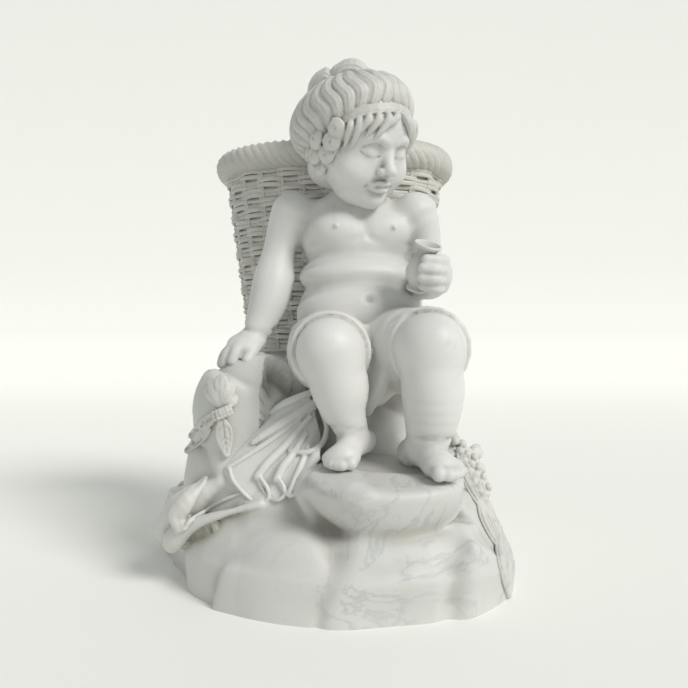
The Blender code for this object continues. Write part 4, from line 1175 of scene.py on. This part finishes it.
def wall_place(share, drop, out=0.0):
    """Points on the basket's wall in world space, at shares round it and drops below the rim."""
    rope = RIM_THICKNESS / 2
    shrink = BASKET_TAPER * np.maximum(drop - rope, 0)
    share, drop, out = np.broadcast_arrays(np.asarray(share, float), drop, out)
    width = RIM_WIDTH / 2 - rope - np.broadcast_to(shrink, share.shape)
    depth = RIM_DEPTH / 2 - rope - np.broadcast_to(shrink, share.shape)
    x, y, nx, ny = oval_point(share, 1.0 * RIM_WIDTH / 2, 1.0 * RIM_DEPTH / 2)
    x = x / (RIM_WIDTH / 2) * width + nx * out
    y = y / (RIM_DEPTH / 2) * depth + ny * out
    local = np.stack([x, y, -drop, np.ones_like(x)], -1)
    way = np.stack([nx, ny, np.zeros_like(nx), np.zeros_like(nx)], -1)
    matrix = np.array(BASKET)
    return (local @ matrix.T)[..., :3], (way @ matrix.T)[..., :3]


def basket_wall(material):
    """The wall under the weave, hollow like a bin, with its floor."""
    rope = RIM_THICKNESS / 2
    share = np.arange(160) / 160
    drops = (BASKET_HEIGHT, BASKET_HEIGHT * 0.7, BASKET_HEIGHT * 0.4, rope, 0.0)
    rows = [(drop, WALL_FACE) for drop in drops]
    courses = 26
    inner = [(0.0, -BASKET_WALL)]
    for course in range(1, courses * 3):
        drop = HOLLOW_DEPTH * course / (courses * 3)
        inner.append((drop, -BASKET_WALL + 0.0018 * math.cos(2 * math.pi * course / 3)))
    inner.append((HOLLOW_DEPTH, -BASKET_WALL))
    bm = bmesh.new()
    loops = []
    for drop, out in rows + inner:
        weave = 0.0
        if out != WALL_FACE:
            weave = 0.0014 * np.sin(2 * math.pi * 26 * share + math.pi * round(drop * 340))
        spots, _ = wall_place(share, drop, out + weave)
        loops.append([bm.verts.new(spot) for spot in spots])
    for low, high in zip(loops, loops[1:]):
        for i in range(len(low)):
            j = (i + 1) % len(low)
            bm.faces.new((low[i], low[j], high[j], high[i]))
    bm.faces.new(loops[0])
    bm.faces.new(loops[-1])
    bmesh.ops.triangulate(bm, faces=[face for face in bm.faces if len(face.verts) > 4])
    return finish_piece("basket_wall", from_bmesh("basket_wall", bm), material)


def basket_weave(material):
    """Pairs of upright stakes, and weavers that pass in front of one pair and behind the next."""
    bm = bmesh.new()
    rope = RIM_THICKNESS / 2
    top = rope * 0.8
    low = BASKET_HEIGHT - 0.004
    for stake in range(STAKE_PAIRS):
        for step in (-0.5, 0.5):
            drop = np.linspace(top, low, 26)
            share = (stake + 0.5 + step * 0.17) / STAKE_PAIRS
            spots, ways = wall_place(np.full(len(drop), share), drop, 0.0)
            add_tube(bm, spots, STAKE_RADIUS, sides=6, outward=ways)
    samples = 8
    count = STAKE_PAIRS * samples
    share = np.arange(count) / count
    for weaver in range(WEAVERS):
        drop = top + (low - top) * (weaver + 0.5) / WEAVERS
        phase = math.pi * (weaver // 2 % 2)
        wave = np.cos(math.pi * STAKE_PAIRS * share + phase)
        wave = np.sign(wave) * np.abs(wave) ** 0.7
        wobble = 0.0007 * np.sin(share * 37 + weaver * 2.4) + 0.0005 * np.sin(share * 91 + weaver)
        spots, ways = wall_place(share, drop + wobble, 0.0004 + WEAVE_DEPTH * wave)
        add_tube(bm, spots, WEAVER_RADIUS, sides=6, closed=True, outward=ways, squash=0.85)
    return finish_piece("basket_weave", from_bmesh("basket_weave", bm), material, reach=0.004)


def basket_rim(material):
    """The thick rope border, wound from slanting withies."""
    bm = bmesh.new()
    rope = RIM_THICKNESS / 2
    core_share = np.arange(120) / 120
    spots, ways = wall_place(core_share, 0.0)
    add_tube(bm, spots, rope - WITHY_RADIUS, sides=12, closed=True, outward=ways)
    samples = 16
    share = np.arange(samples * RIM_TURNS) / (samples * RIM_TURNS)
    up = np.array(BASKET)[:3, 2]
    for withy in range(RIM_WITHIES):
        turn = 2 * math.pi * (RIM_TURNS * share + withy / RIM_WITHIES)
        spots, ways = wall_place(share, 0.0)
        way = ways * np.cos(turn)[:, None] - up * np.sin(turn)[:, None]
        swell = 1 + 0.05 * np.sin(9 * share * 2 * math.pi + withy)
        add_tube(bm, spots + way * (rope - WITHY_RADIUS), WITHY_RADIUS * swell, sides=6, closed=True,
                 outward=way, squash=0.95)
    return finish_piece("basket_rim", from_bmesh("basket_rim", bm), material, reach=0.004)


def jug(material):
    """The small jug in the child's hand, turned, with a narrow neck and a flared lip."""
    profile = ((0.0, 0.0), (0.93, 0.0), (1.0, 0.02), (1.0, 0.05), (0.82, 0.075), (0.80, 0.10),
               (1.02, 0.16),
               (1.40, 0.27), (1.54, 0.36), (1.50, 0.46), (1.28, 0.58), (1.06, 0.68), (0.98, 0.76),
               (1.0, 0.83), (1.14, 0.90), (1.36, 0.945), (1.46, 0.965), (1.46, 0.985), (1.40, 1.0),
               (1.22, 1.0), (1.16, 0.985), (1.02, 0.93),
               (0.80, 0.86), (0.70, 0.80), (0.70, 1 - JUG_HOLLOW / JUG_HEIGHT),
               (0.0, 1 - JUG_HOLLOW / JUG_HEIGHT))
    bm = bmesh.new()
    row = [bm.verts.new((radius * JUG_FOOT_RADIUS, 0, height * JUG_HEIGHT))
           for radius, height in profile]
    edges = [bm.edges.new(pair) for pair in zip(row, row[1:])]
    bmesh.ops.spin(bm, geom=row + edges, cent=(0, 0, 0), axis=(0, 0, 1), angle=2 * math.pi, steps=48,
                   use_merge=True, use_duplicate=False)
    bmesh.ops.remove_doubles(bm, verts=bm.verts, dist=1e-5)
    foot = POSE @ Vector((118, -96, 428))
    mouth = POSE @ Vector((134, -124, 490))
    place = Matrix.Translation(foot) @ (mouth - foot).to_track_quat("Z", "Y").to_matrix().to_4x4()
    bmesh.ops.transform(bm, matrix=place, verts=bm.verts)
    return finish_piece("jug", from_bmesh("jug", bm), material, reach=0.003, sharp=50)


def floor_and_light():
    """A pale paper sweep, an even sky and one soft light from the front and the right."""
    bm = bmesh.new()
    profile = [(-6.0, 0.0), (3.0, 0.0), (3.5, 0.04), (3.85, 0.18), (4.05, 0.45), (4.1, 0.9), (4.1, 6.0)]
    row = [bm.verts.new((-8.0, y, z)) for y, z in profile]
    edges = [bm.edges.new(pair) for pair in zip(row, row[1:])]
    grown = bmesh.ops.extrude_edge_only(bm, edges=edges)
    moved = [item for item in grown["geom"] if isinstance(item, bmesh.types.BMVert)]
    bmesh.ops.translate(bm, verts=moved, vec=(16.0, 0, 0))
    bmesh.ops.recalc_face_normals(bm, faces=bm.faces)
    for face in bm.faces:
        if face.normal.z < -0.1 or face.normal.y > 0.5:
            face.normal_flip()
    mesh = bpy.data.meshes.new("floor")
    bm.to_mesh(mesh)
    bm.free()
    mesh.shade_smooth()
    paper = bpy.data.materials.new("paper")
    paper.use_nodes = True
    paper.node_tree.nodes["Principled BSDF"].inputs["Base Color"].default_value = PAPER_COLOUR
    paper.node_tree.nodes["Principled BSDF"].inputs["Roughness"].default_value = 0.95
    paper.node_tree.nodes["Principled BSDF"].inputs["Specular IOR Level"].default_value = 0.1
    mesh.materials.append(paper)
    new_object("floor", mesh)

    world = bpy.data.worlds.new("studio")
    bpy.context.scene.world = world
    world.use_nodes = True
    sky = world.node_tree.nodes["Background"]
    sky.inputs["Color"].default_value = (0.96, 0.985, 1.0, 1)
    sky.inputs["Strength"].default_value = SKY_STRENGTH
    key = bpy.data.lights.new("key", "SUN")
    key.energy = KEY_STRENGTH
    key.angle = math.radians(24)
    key.color = (1.0, 0.985, 0.95)
    lamp = bpy.data.objects.new("key", key)
    lamp.location = (1.3, -1.5, 2.0)
    lamp.rotation_euler = Vector(KEY_DIRECTION).to_track_quat("Z", "Y").to_euler()
    bpy.context.scene.collection.objects.link(lamp)
    # The plain view keeps the paper pale and the marble white.
    bpy.context.scene.view_settings.view_transform = "Standard"


def set_camera():
    camera = bpy.data.objects.new("camera", bpy.data.cameras.new("camera"))
    camera.data.sensor_width = 36.0
    camera.data.lens = CAMERA_LENS
    camera.location = CAMERA_PLACE
    camera.rotation_euler = (math.pi / 2, 0, 0)
    bpy.context.scene.collection.objects.link(camera)
    bpy.context.scene.camera = camera


set_camera()
floor_and_light()
# The last number sets how strongly each piece's hollows are painted with patina and shade, and how
# strongly its dirt specks show.
skin = marble("marble skin", SKIN_COLOUR, 0.5)
cloth = marble("marble cloth", SKIN_COLOUR, 0.8)
stone = marble("marble rock", ROCK_COLOUR, 0.75)
wicker = marble("marble wicker", WICKER_COLOUR, 1.0)
hair = marble("marble hair", HAIR_COLOUR, 0.9)

finish_piece("figure", clay_mesh(figure_clay(), FIGURE_VOXEL), skin, reach=0.008)
finish_piece("head", clay_mesh(face_clay(), HEAD_VOXEL), skin, reach=0.005)
finish_piece("hair", clay_mesh(hair_clay(), HAIR_VOXEL), hair, reach=0.004)
draped = cloth_mesh()
folds = clay_mesh(fold_clay(Surface(draped)), LEAF_VOXEL, every_shell=True)
finish_piece("drapery", draped, cloth, reach=0.006)
finish_piece("drapery_folds", folds, cloth, reach=0.004)
ground = carved_rock()
finish_piece("plants", clay_mesh(plant_clay(ground), LEAF_VOXEL, every_shell=True), hair, reach=0.004)
finish_piece("rock", cut_at_floor(clay_mesh(ground, ROCK_VOXEL)), stone, reach=0.016)
basket_wall(wicker)
basket_weave(wicker)
basket_rim(wicker)
jug(skin)
